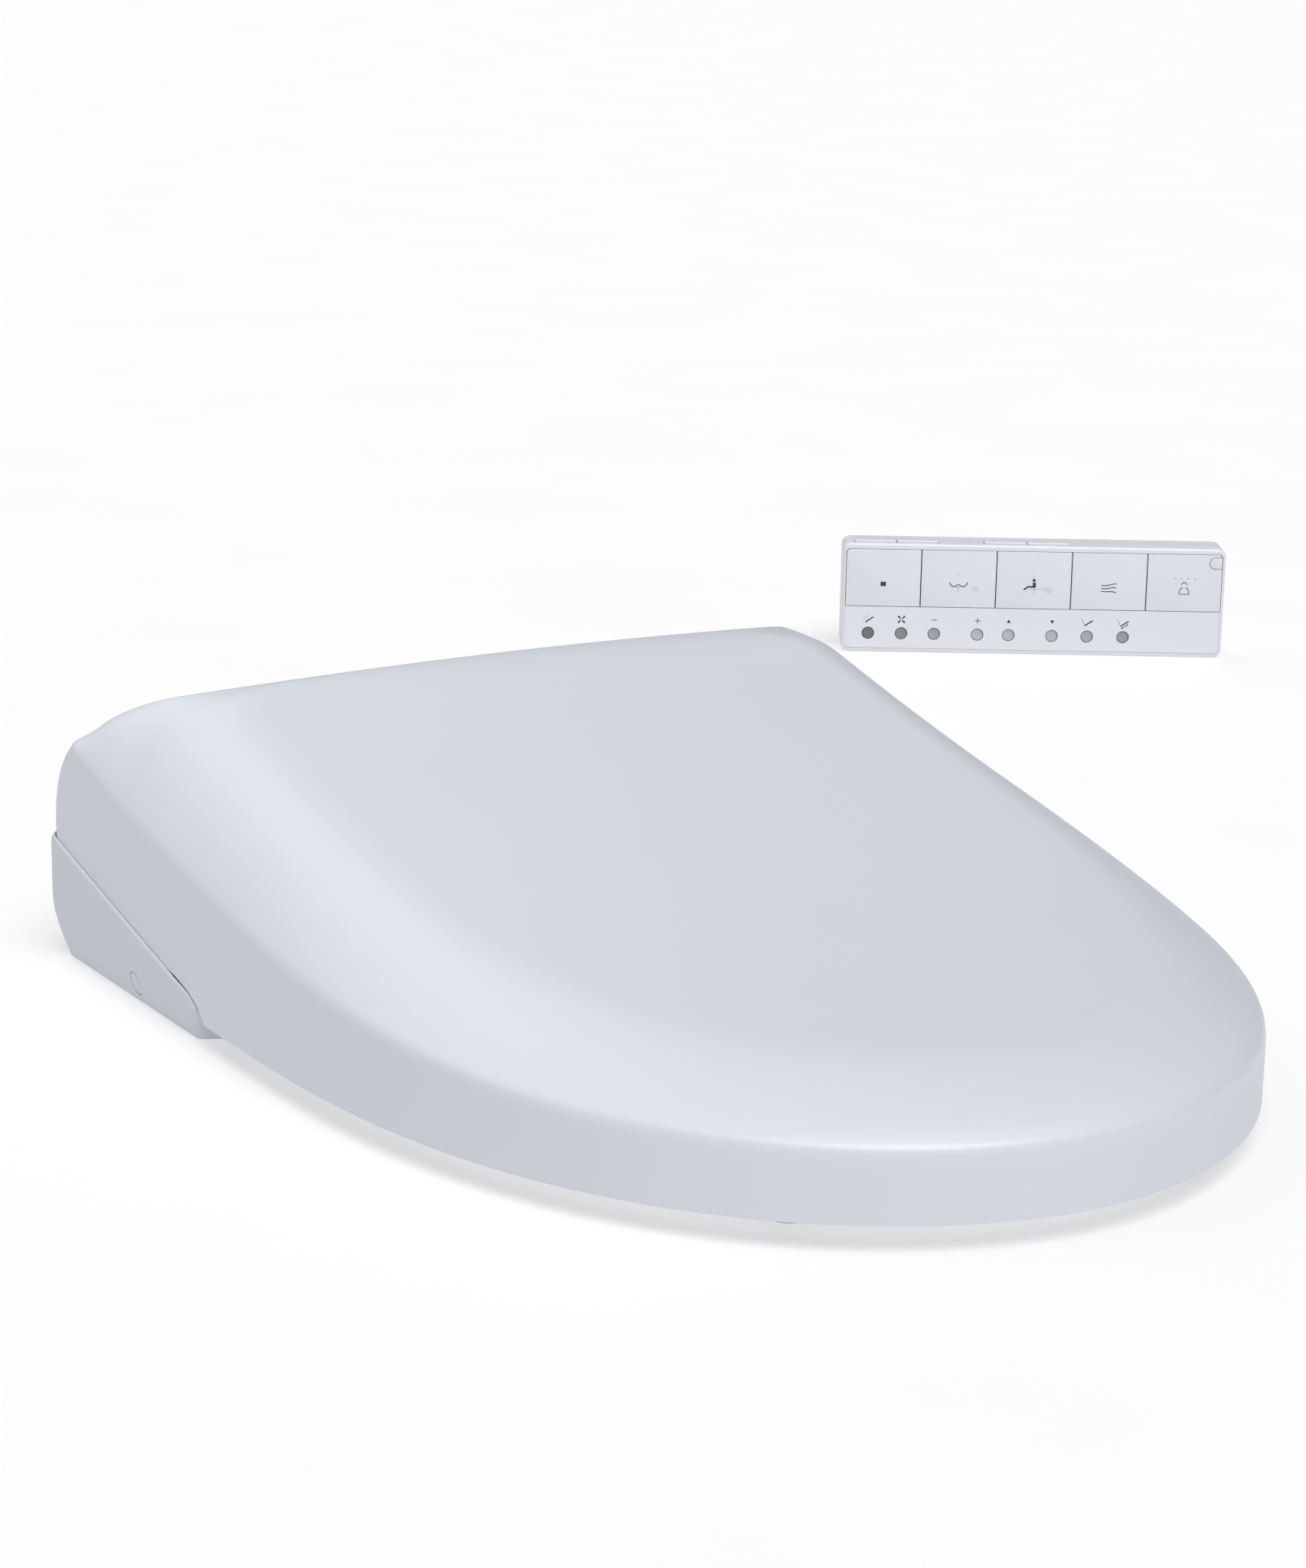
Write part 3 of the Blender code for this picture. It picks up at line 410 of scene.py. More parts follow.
def rim(inset, rear, corner, counts):
    """Closed outline of the lid's plan moved inwards, and each point's share in the rear wall."""
    across, round_corner, side, front = counts
    straight = np.linspace(0.09, LID_WIDEST, 120)
    swing = np.linspace(0.0, math.pi / 2, 400)[1:]
    x = LID_HALF * np.cos(swing)
    share = 1 - (1 - (x / LID_HALF) ** SIDE_POWER) ** (1 / FRONT_POWER)
    y = LID_FRONT + (LID_WIDEST - LID_FRONT) * share
    path = np.vstack([np.column_stack([np.full(120, LID_HALF), straight]), np.column_stack([x, y])])
    slope = np.gradient(path, axis=0)
    normal = np.column_stack([-slope[:, 1], slope[:, 0]])
    normal /= np.linalg.norm(normal, axis=1)[:, None]
    normal[-1] = (0.0, -1.0)
    path = path - normal * inset
    path[-1, 0] = 0.0
    turn = rear - corner
    edge = float(np.interp(-turn, -path[:, 1], path[:, 0]))
    angles = np.linspace(math.pi / 2, 0.0, round_corner + 1)
    back = np.column_stack([np.linspace(0.0, edge - corner, across), np.full(across, rear)])
    bend = np.column_stack([edge - corner + corner * np.cos(angles), turn + corner * np.sin(angles)])
    rest = np.vstack([[edge, turn], path[path[:, 1] < turn - 1e-6]])
    length = np.r_[0.0, np.cumsum(np.linalg.norm(np.diff(rest, axis=0), axis=1))]
    steps = np.linspace(0.0, length[-1], side + front)
    flank = np.column_stack([np.interp(steps, length, rest[:, k]) for k in (0, 1)])
    half = np.vstack([back, bend[1:], flank[1:]])
    weight = np.concatenate([np.ones(across), np.sin(angles[1:]) ** 2, np.zeros(len(flank) - 1)])
    left = half[-2:0:-1] * [-1, 1]
    return np.vstack([half, left]), np.concatenate([weight, weight[-2:0:-1]])


def lid_profile(skin, steps):
    """Rings up the lid's side, over its soft crease and across its shoulder to the middle of its top."""
    radius = REAR_ARC - skin
    low_corner = math.asin((SEAM_REAR - EDGE_TUCK - ARC_Z) / radius)
    low_middle = math.asin((NOTCH_TOP - ARC_Z) / radius)
    wall, fillet, shoulder, plateau = steps
    rings = []

    def ring(inset, height, share, corner=REAR_CORNER):
        """One ring: height gives Z from the plan, share runs from the lower edge, 0, to the top, 1."""
        angle_span = math.pi / 2 - low_corner
        reach = np.cos(low_corner + share * angle_span)
        plan, weight = rim(skin + inset, ARC_Y + radius * float(reach), corner, LID_COUNTS)
        middle = (NOTCH_HALF + NOTCH_BLEND - np.abs(plan[:, 0])) / (2 * NOTCH_BLEND)
        middle = np.clip(middle, 0.0, 1.0)
        middle = middle**2 * (3 - 2 * middle)
        low = low_corner + (low_middle - low_corner) * middle
        angle = low + share * (math.pi / 2 - low)
        plan[:, 1] += weight * radius * (np.cos(angle) - float(reach))
        above = np.clip((share - CREASE_SHARE) / (1 - CREASE_SHARE), 0, 1)
        crown = CROWN * (1 - (plan[:, 0] / LID_HALF) ** 2) * above
        z = height(plan[:, 1]) * (1 - weight) + (ARC_Z + radius * np.sin(angle)) * weight
        rings.append(np.column_stack([plan, z + crown]))

    def softness(y):
        """Height of the crease's rounding, larger at the front."""
        return SOFT_REAR + SOFT_RISE * (1 - np.clip(along(y), 0, 1)) ** SOFT_POWER

    def edge(y):
        """Lower edge: tucked behind the case's rim, but just over the chin in front of it."""
        behind = np.clip((y - CHIN_Y - TUCK_START) / TUCK_SPAN, 0, 1)
        tuck = behind * (EDGE_TUCK + CHIN_OVERHANG) - CHIN_OVERHANG
        return np.maximum(seam_z(y) - tuck, LID_EDGE)

    def shoulder_z(y, depth):
        """Height of the shoulder at a depth in from the lid's side."""
        share = np.clip(depth / SHOULDER, 0, 1)
        power = SHOULDER_POWER + SHOULDER_SWELL * np.clip((y - SWELL_START) / SWELL_SPAN, 0, 1)
        return top_z(y) - skin - np.clip(top_z(y) - crease_z(y), 0, None) * (1 - share) ** power

    below, over = CREASE_SHARE * (1 - CREASE_BAND), CREASE_SHARE * (1 + CREASE_BAND)
    crease_corner = REAR_CORNER + SIDE_CORNER
    for share in np.linspace(0.0, 1.0, wall):
        def wall_z(y, share=share):
            top = crease_z(y) - skin - softness(y)
            return edge(y) + (top - edge(y)) * share
        ring(0.0, wall_z, below * share, REAR_CORNER + SIDE_CORNER * share**3)
    for share in np.linspace(0.0, 1.0, fillet)[1:]:
        def fillet_z(y, share=share):
            low = crease_z(y) - skin - softness(y)
            bend = crease_z(y) - skin
            high = shoulder_z(y, FILLET_DEPTH)
            return low * (1 - share) ** 2 + 2 * bend * share * (1 - share) + high * share**2
        ring(FILLET_DEPTH * share**2, fillet_z, below + (over - below) * share, crease_corner)
    for share in np.linspace(0.0, 1.0, shoulder)[1:]:
        depth = FILLET_DEPTH + (SHOULDER - FILLET_DEPTH) * share**1.15
        level = over + (1 - over) * share**0.6
        corner = crease_corner + TOP_CORNER * share**2
        ring(depth, lambda y, depth=depth: shoulder_z(y, depth), level, corner)
    last = rings[-1]
    for share in np.linspace(1.0, 0.03, plateau)[1:]:
        x = last[:, 0] * share
        y = PLATEAU_Y + (last[:, 1] - PLATEAU_Y) * share
        z = top_z(y) - skin + CROWN * (1 - (x / LID_HALF) ** 2)
        rings.append(np.column_stack([x, y, z]))
    return rings


def make_lid():
    """Lid shell, finer than the CAD's, with the two bosses that take the hinge shafts."""
    outer = lid_profile(0.0, LID_OUTER_STEPS)
    inner = lid_profile(LID_WALL, LID_INNER_STEPS)
    lid = mesh_piece("lid_shell", outer[::-1] + inner, MATERIALS["lid"], smooth=50)
    show(lid, "lid", "lid")
    near, far = LID_BOSS
    section = [
        (near, BORE_RADIUS), (near, BOSS_RADIUS - BOSS_CHAMFER), (near + BOSS_CHAMFER, BOSS_RADIUS),
        (far, BOSS_RADIUS), (far, BOSS_VENT), (far - BOSS_END, BOSS_VENT), (far - BOSS_END, BORE_RADIUS),
    ]
    for side, word in ((-1, "left"), (1, "right")):
        rows = [[(side * x, y, z) for y, z in circle(HINGE, radius)] for x, radius in section]
        boss = mesh_piece(f"lid_boss_{word}", rows, MATERIALS["lid"], closed=True, smooth=35)
        show(boss, "lid")


# ---------------------------------------------------------------- solid tools


def block(low, high):
    """Box used as a cutter or as joined material."""
    plan = [(low[0], low[1]), (high[0], low[1]), (high[0], high[1]), (low[0], high[1])]
    return mesh_piece("tool", [[(x, y, z) for x, y in plan] for z in (low[2], high[2])])


def bar(start, end, radius):
    """Round bar used as a cutter."""
    start, end = Vector(start), Vector(end)
    turn = (end - start).to_track_quat("Z", "Y").to_matrix()
    round_plan = [turn @ Vector((x, y, 0)) for x, y in circle((0, 0), radius)]
    return mesh_piece("tool", [[place + point for point in round_plan] for place in (start, end)])


def sideways(outline, low, high, name="tool", material=None):
    """Outline of (y, z) points, filled from one X to another."""
    return mesh_piece(name, [[(x, y, z) for y, z in outline] for x in (low, high)], material)


def facing(outline, near, far, name="tool", material=None):
    """Outline of (x, z) points in the remote's face plane, filled from one depth to another."""
    return mesh_piece(name, [[(x, y, z) for x, z in outline] for y in (near, far)], material)


def carve(piece, cuts=(), joins=(), smooth=35):
    """Join and cut a piece with tools, which are used up."""
    for operation, tools in (("UNION", joins), ("DIFFERENCE", cuts)):
        for tool in tools:
            step = piece.modifiers.new("step", "BOOLEAN")
            step.operation = operation
            step.solver = "EXACT"
            step.object = tool
    settle(piece, smooth)
    for tool in (*joins, *cuts):
        bpy.data.objects.remove(tool, do_unlink=True)


def settle(piece, smooth=35):
    """Apply a piece's modifiers and shade it smooth below an angle."""
    depsgraph = bpy.context.evaluated_depsgraph_get()
    mesh = bpy.data.meshes.new_from_object(piece.evaluated_get(depsgraph))
    piece.modifiers.clear()
    piece.data = mesh
    mesh.shade_smooth()
    mesh.set_sharp_from_angle(angle=math.radians(smooth))


def round_edges(piece, width, segments=3, angle=40):
    """Bevel a piece's hard edges."""
    step = piece.modifiers.new("edges", "BEVEL")
    step.width = width
    step.segments = segments
    step.limit_method = "ANGLE"
    step.angle_limit = math.radians(angle)
    settle(piece, 30)


def show(piece, body, node=None):
    """Make a piece ride on a body in place of a CAD node."""
    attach(piece, body)
    if node:
        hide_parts(node)


# ---------------------------------------------------------------- case and deck


def case_plan(taper, inset):
    """Closed plan of the case with bevelled front corners."""
    side = CASE_HALF - taper - inset
    rear = CASE_REAR - REAR_LEAN * taper - min(inset, CASE_SKIN)
    front = CASE_FRONT + FRONT_LEAN * taper + inset
    rear_round, crisp, blend = (radius - inset for radius in CASE_ROUNDS)
    run = (-BEVEL_LENGTH * math.sin(BEVEL_TURN), -BEVEL_LENGTH * math.cos(BEVEL_TURN))
    blend_y = front + blend
    crisp_y = blend_y + (crisp - blend) * math.sin(BEVEL_TURN) - run[1]
    blend_x = side - crisp + (crisp - blend) * math.cos(BEVEL_TURN) + run[0]
    across = (0.0, 0.075, 0.150, SWING_HALF - 0.0005, SWING_HALF + 0.0005, 0.160, 0.168)
    half = [(x, rear) for x in across]
    half += arc((side - rear_round, rear - rear_round), rear_round, math.pi / 2, 0, 10)
    half += [(side, y) for y in np.linspace(rear - rear_round, CHIN_Y, 14)[1:]]
    half += [(side, y) for y in np.linspace(CHIN_Y, crisp_y, 8)[1:-1]]
    half += arc((side - crisp, crisp_y), crisp, 0, -BEVEL_TURN, 8)
    half += arc((blend_x, blend_y), blend, -BEVEL_TURN, -math.pi / 2, 8)
    half.append((0.0, front))
    half = np.array(half)
    return np.vstack([half, half[-2:0:-1] * [-1, 1]])


def case_row(inset, height):
    """One ring of the case; height turns the case's local top into the ring's Z."""
    straight, tapered = case_plan(0.0, inset), case_plan(CASE_TAPER, inset)
    top = seam_z(straight[:, 1])
    top = np.where((straight[:, 1] > 0.06) & (np.abs(straight[:, 0]) < SWING_HALF), SWING_Z, top)
    z = height(top)
    lean = ((1 - np.minimum(z / CASE_TAPER_TOP, 1.0)) ** CASE_TAPER_POWER)[:, None]
    return np.column_stack([straight + (tapered - straight) * lean, z])


def make_case():
    """Low case with a rounded rim, its floor and the plinth under the deck, and its two side caps."""
    rows = [case_row(CASE_FOOT, lambda top: top * 0.0), case_row(0.0, lambda top: top * 0.0 + CASE_FOOT)]
    for share in (0.12, 0.25, 0.4, 0.55, 0.7, 0.85, 1.0):
        rows.append(case_row(0.0, lambda top, share=share: CASE_FOOT + (top - EDGE_DROP - CASE_FOOT) * share))
    for turn in np.linspace(0, math.pi / 2, 8)[1:]:
        drop, inset = EDGE_DROP * (1 - math.sin(turn)), CASE_LEDGE * (1 - math.cos(turn))
        rows.append(case_row(inset, lambda top, drop=drop: top - drop))
    for share in (0.1, 0.3, 0.65, 1.0):
        rows.append(case_row(CASE_SKIN, lambda top, share=share: top + (CASE_FLOOR - top) * share))
    case = mesh_piece("case_shell", rows, MATERIALS["case"])
    cuts = [
        block((-FRONT_CUT_HALF, -0.090, CHIN_Z + GAP), (FRONT_CUT_HALF, -0.058, 0.040)),
        block((-POCKET_HALF, -0.045, -0.001), (POCKET_HALF, 0.080, POCKET_TOP)),
        block((NOZZLE_SLOT[0], -0.082, -0.0013), (NOZZLE_SLOT[1], -0.020, 0.0135)),
        block((DRYER_SLOT[0], -0.082, -0.0017), (DRYER_SLOT[1], -0.034, 0.0140)),
        bar((PIPE_X, 0.060, PIPE_Z), (PIPE_X, 0.080, PIPE_Z), INLET_HOLE),
        bar((-PIPE_X, 0.060, PIPE_Z), (-PIPE_X, 0.080, PIPE_Z), CORD_HOLE),
        bar((-0.195, *DRAIN_CAP), (-0.180, *DRAIN_CAP), CAP_HOLE),
        bar((0.180, *RELEASE_CAP), (0.195, *RELEASE_CAP), CAP_HOLE),
    ]
    carve(case, cuts, [block(PLINTH_LOW, PLINTH_HIGH)])
    show(case, "root", "case_lower")
    make_cap("drain_cap", -1, DRAIN_CAP, "drain", "drain_plug")
    make_cap("release_cap", 1, RELEASE_CAP, "release", "release_button")


def make_cap(name, side, centre, body, node):
    """Round cap in the case's side, flush with the leaning wall round it."""
    rows = [[(side * CAP_INNER, y, z) for y, z in circle(centre, CAP_RADIUS * share)] for share in (0.1, 1.0)]
    for share in (1.0, 0.99, 0.96, 0.9, 0.6, 0.3, 0.05):
        sunk = CAP_ROUND * max(share - 0.9, 0) / 0.1
        ring = []
        for y, z in circle(centre, CAP_RADIUS * share):
            wall = CASE_HALF - CASE_TAPER * (1 - min(z / CASE_TAPER_TOP, 1.0)) ** CASE_TAPER_POWER
            ring.append((side * (wall - sunk), y, z))
        rows.append(ring)
    show(mesh_piece(name, rows, MATERIALS["case"]), body, node)


def deck_outline(wall):
    """Side view of the deck, moved inwards by a wall: a barrel round the hinge, then a ramp."""
    radius = DECK_BARREL - wall
    heel = DECK_HEEL - wall
    turn = -math.acos((heel - HINGE[0]) / radius)
    bottom = DECK_BOTTOM if wall == 0 else DECK_BOTTOM - 0.005
    points = [(heel, bottom)] + arc(HINGE, radius, turn, DECK_TURN, 90)
    nose_y = DECK_FRONT + DECK_NOSE
    nose_z = points[-1][1] - (points[-1][0] - DECK_FRONT - DECK_NOSE) * math.tan(DECK_RAMP)
    points += arc((nose_y, nose_z - DECK_NOSE), DECK_NOSE - wall, DECK_TURN, math.pi, 12)
    return points + [(DECK_FRONT + wall, bottom)]


def make_deck():
    """Deck over the works, with rounded ends and its ports."""
    deck = sideways(deck_outline(0.0), -DECK_HALF, DECK_HALF, "deck_shell", MATERIALS["case"])
    round_edges(deck, 0.0012, 4, 60)
    room = DECK_HALF - DECK_WALL
    cuts = [
        sideways(deck_outline(DECK_WALL), -room, room),
        block((NOZZLE_SLOT[0], -0.070, 0.0105), (NOZZLE_SLOT[1], -0.055, 0.0157)),
        block((DRYER_SLOT[0], -0.070, 0.0107), (DRYER_SLOT[1], -0.055, 0.0152)),
        block(*CARTRIDGE_PORT),
        block(*SENSOR_PORT),
    ]
    for side in (-1, 1):
        cuts.append(bar((side * 0.140, *HINGE), (side * 0.152, *HINGE), BORE_RADIUS))
    carve(deck, cuts, smooth=30)
    show(deck, "root", "case_upper")


# ---------------------------------------------------------------- seat


def polar(outline, angles):
    """Distance from the opening's centre to a closed outline, in each direction."""
    offset = np.asarray(outline) - [0.0, OPENING_CENTRE]
    heading = np.arctan2(offset[:, 1], offset[:, 0])
    order = np.argsort(heading)
    return np.interp(angles, heading[order], np.linalg.norm(offset, axis=1)[order], period=2 * math.pi)


def cut_corners(points, rounds):
    """Chaikin's smoothing of an open line, which keeps its ends."""
    for _ in range(rounds):
        points = np.asarray(points, float)
        near, far = points[:-1] * 0.75 + points[1:] * 0.25, points[:-1] * 0.25 + points[1:] * 0.75
        points = np.vstack([points[:1], np.stack([near, far], 1).reshape(-1, 2)[1:-1], points[-1:]])
    return points


def make_seat():
    """Smooth top shell of the heated seat ring."""
    angles = np.linspace(-math.pi, math.pi, SEAT_POINTS + 1)[:-1]
    outline, _ = rim(SEAT_INSET, SEAT_REAR, SEAT_CORNER, SEAT_COUNTS)
    outside = polar(outline, angles)
    wide, long = OPENING_HALF
    inside = wide * long / np.hypot(long * np.cos(angles), wide * np.sin(angles))
    heading = np.column_stack([np.cos(angles), np.sin(angles)])
    outer = [(0.0, 0.0160), (0.0, 0.0310), (0.05, 0.0365), (0.22, 0.0385), (0.60, 0.0390), (0.88, 0.0378),
             (0.97, 0.0345), (1.0, 0.0290), (1.0, 0.0160)]
    inner = [(0.96, 0.0160), (0.96, 0.0285), (0.85, 0.0350), (0.50, 0.0362), (0.20, 0.0355), (0.08, 0.0335),
             (0.05, 0.0300), (0.05, 0.0160)]
    rows = []
    for share, z in np.vstack([cut_corners(outer, 3), inner]):
        reach = inside + (outside - inside) * share
        plan = heading * reach[:, None] + [0.0, OPENING_CENTRE]
        rows.append(np.column_stack([plan, np.full(SEAT_POINTS, z)]))
    ring = mesh_piece("seat_ring", rows, MATERIALS["seat"], closed=True)
    show(ring, "seat", "seat_upper")


# ---------------------------------------------------------------- remote control

REMOTE = Matrix.Translation(REMOTE_PLACE) @ Matrix.Rotation(REMOTE_YAW, 4, "Z")
FACE = -REMOTE_SIZE[1] / 2


def rounded(left, right, low, high, radii):
    """Outline with a radius for each corner: top right, top left, bottom left, bottom right."""
    corners = [(right, high, -1, -1), (left, high, 1, -1), (left, low, 1, 1), (right, low, -1, 1)]
    points = []
    for k, ((x, z, inward, upward), radius) in enumerate(zip(corners, radii)):
        if radius:
            turn = k * math.pi / 2
            points += arc((x + inward * radius, z + upward * radius), radius, turn, turn + math.pi / 2, 9)
        else:
            points.append((x, z))
    return points


def stand(piece, body, node=None):
    """Turn a piece from the remote's own frame into place and show it."""
    piece.data.transform(REMOTE)
    show(piece, body, node)


def remote_shell(name, depths):
    """Rounded slab of the remote's outline; depths are (Y, inset) pairs."""
    width, _, height = REMOTE_SIZE
    rows = []
    for y, inset in depths:
        radius = REMOTE_CORNER - inset
        outline = rounded(-width / 2 + inset, width / 2 - inset, inset, height - inset, [radius] * 4)
        rows.append([(x, y, z) for x, z in outline])
    return mesh_piece(name, rows, MATERIALS["remote"], smooth=30)


def front_edge():
    """Depths and insets of the rounded edge that ends at the remote's face."""
    turns = np.linspace(0, math.pi / 2, 7)
    return [(FACE + REMOTE_EDGE * (1 - math.sin(t)), REMOTE_EDGE * (1 - math.cos(t))) for t in turns]


def window_outline(radius, right):
    """Outline of the signal window: round at its left, straight at its right."""
    low, high = WINDOW[1] - radius, WINDOW[1] + radius
    return arc(WINDOW, radius, math.pi / 2, 1.5 * math.pi, 24) + [(right, low), (right, high)]


def panel_outline(k):
    """Outline of one panel key, with the outer top corners rounded."""
    middle, reach = (k - 2) * PANEL_PITCH, PANEL_PITCH / 2 - GAP
    low, high = PANEL_ZONE
    radii = [PANEL_CORNER if k == 4 else 0, PANEL_CORNER if k == 0 else 0, 0, 0]
    return rounded(middle - reach, middle + reach, low + GAP, high - GAP, radii)


def make_remote():
    """Remote control: front shell, panel keys, window, round buttons, top keys and printed symbols."""
    width, _, height = REMOTE_SIZE
    wide = 2.5 * PANEL_PITCH
    front = remote_shell("remote_face", [(REMOTE_SPLIT, 0.0)] + front_edge())
    recess = rounded(-wide, wide, *PANEL_ZONE, [PANEL_CORNER, PANEL_CORNER, 0, 0])
    cuts = [facing(recess, FACE - 0.001, FACE + 0.0045)]
    room = REMOTE_WALL
    cavity = rounded(-width / 2 + room, width / 2 - room, room, height - room, [0.003] * 4)
    cuts.append(facing(cavity, FACE + room, REMOTE_SPLIT + 0.001))
    thin = REMOTE_GROOVE
    groove = rounded(-wide, wide, 0.0021, PANEL_ZONE[0], [0, 0, 0.003, 0.003])
    core_rounds = [0, 0, 0.003 - thin, 0.003 - thin]
    core = rounded(-wide + thin, wide - thin, 0.0021 + thin, PANEL_ZONE[0] + 0.001, core_rounds)
    line = facing(groove, FACE - 0.001, FACE + 0.0003)
    carve(line, [facing(core, FACE - 0.002, FACE + 0.001)])
    cuts.append(line)
    for x in BUTTON_X:
        cuts.append(bar((x, FACE - 0.001, BUTTON_Z), (x, FACE + 0.003, BUTTON_Z), BUTTON_RADIUS + GAP))
    near, far = TOP_KEY_Y
    reach = TOP_KEY_LENGTH / 2
    for x in TOP_KEY_X:
        low = (x - reach - GAP, near - GAP, height - 0.004)
        cuts.append(block(low, (x + reach + GAP, far + GAP, height + 0.001)))
    carve(front, cuts, smooth=30)
    stand(front, "remote", "remote_front")
    for k in range(5):
        outline, name = panel_outline(k), f"panel_face_{k + 1}"
        key = facing(outline, FACE - PANEL_RAISE, FACE + 0.0026, name, MATERIALS["remote"])
        round_edges(key, 0.0003, 3)
        if k == 4:
            notch = window_outline(0.0036, 0.113)
            carve(key, [facing(notch, FACE - 0.002, FACE + 0.004)], smooth=30)
        stand(key, f"panel_{k + 1}", f"panel_key_{k + 1}")
    outline = window_outline(0.0033, 0.1104)
    window = facing(outline, FACE - 0.0001, FACE + 0.0025, "signal_window", MATERIALS["remote"])
    round_edges(window, 0.0002, 2)
    stand(window, "remote", "remote_ir_window")
    for k, x in enumerate(BUTTON_X):
        grey = BUTTON_GREYS[k]
        colour = (grey, grey * 1.03, grey * 1.08)
        finish = plastic(f"button_rubber_{k + 1}", colour, rough=0.5, coat=0.0, bump=0.05)
        rows = []
        for depth, share in BUTTON_SECTION:
            ring = circle((x, BUTTON_Z), share * BUTTON_RADIUS)
            rows.append([(px, FACE + depth, pz) for px, pz in ring])
        button = mesh_piece(f"button_cap_{k + 1}", rows, finish)
        stand(button, f"button_{k + 1}", f"round_button_{k + 1}")
    for k, x in enumerate(TOP_KEY_X):
        key = block((x - reach, near, height - 0.0035), (x + reach, far, height + 0.0012))
        key.name = f"top_cap_{k + 1}"
        key.data.materials.append(MATERIALS["remote"])
        round_edges(key, 0.0007, 4)
        stand(key, f"top_{k + 1}", f"top_key_{k + 1}")
    print_symbols()


# ---------------------------------------------------------------- printed symbols
# Their outlines are in millimetres from their own middle: X to the right, Z up


def stroke(points, width):
    """Outline of a line of one width."""
    points = np.asarray(points, float)
    run = np.gradient(points, axis=0)
    run /= np.linalg.norm(run, axis=1)[:, None]
    off = np.column_stack([-run[:, 1], run[:, 0]]) * width / 2
    return np.vstack([points + off, (points - off)[::-1]])


def dots(places, radius, count):
    """Small discs of one size."""
    return [circle(place, radius, count) for place in places]


def wave(x0, x1, z, lift, width):
    """Line that dips at its left and turns up to its right."""
    x = np.linspace(x0, x1, 17)
    t = np.linspace(0, 1, 17)
    return stroke(np.column_stack([x, z + lift * t**2.2 - 0.25 * np.sin(t * 2 * math.pi)]), width)


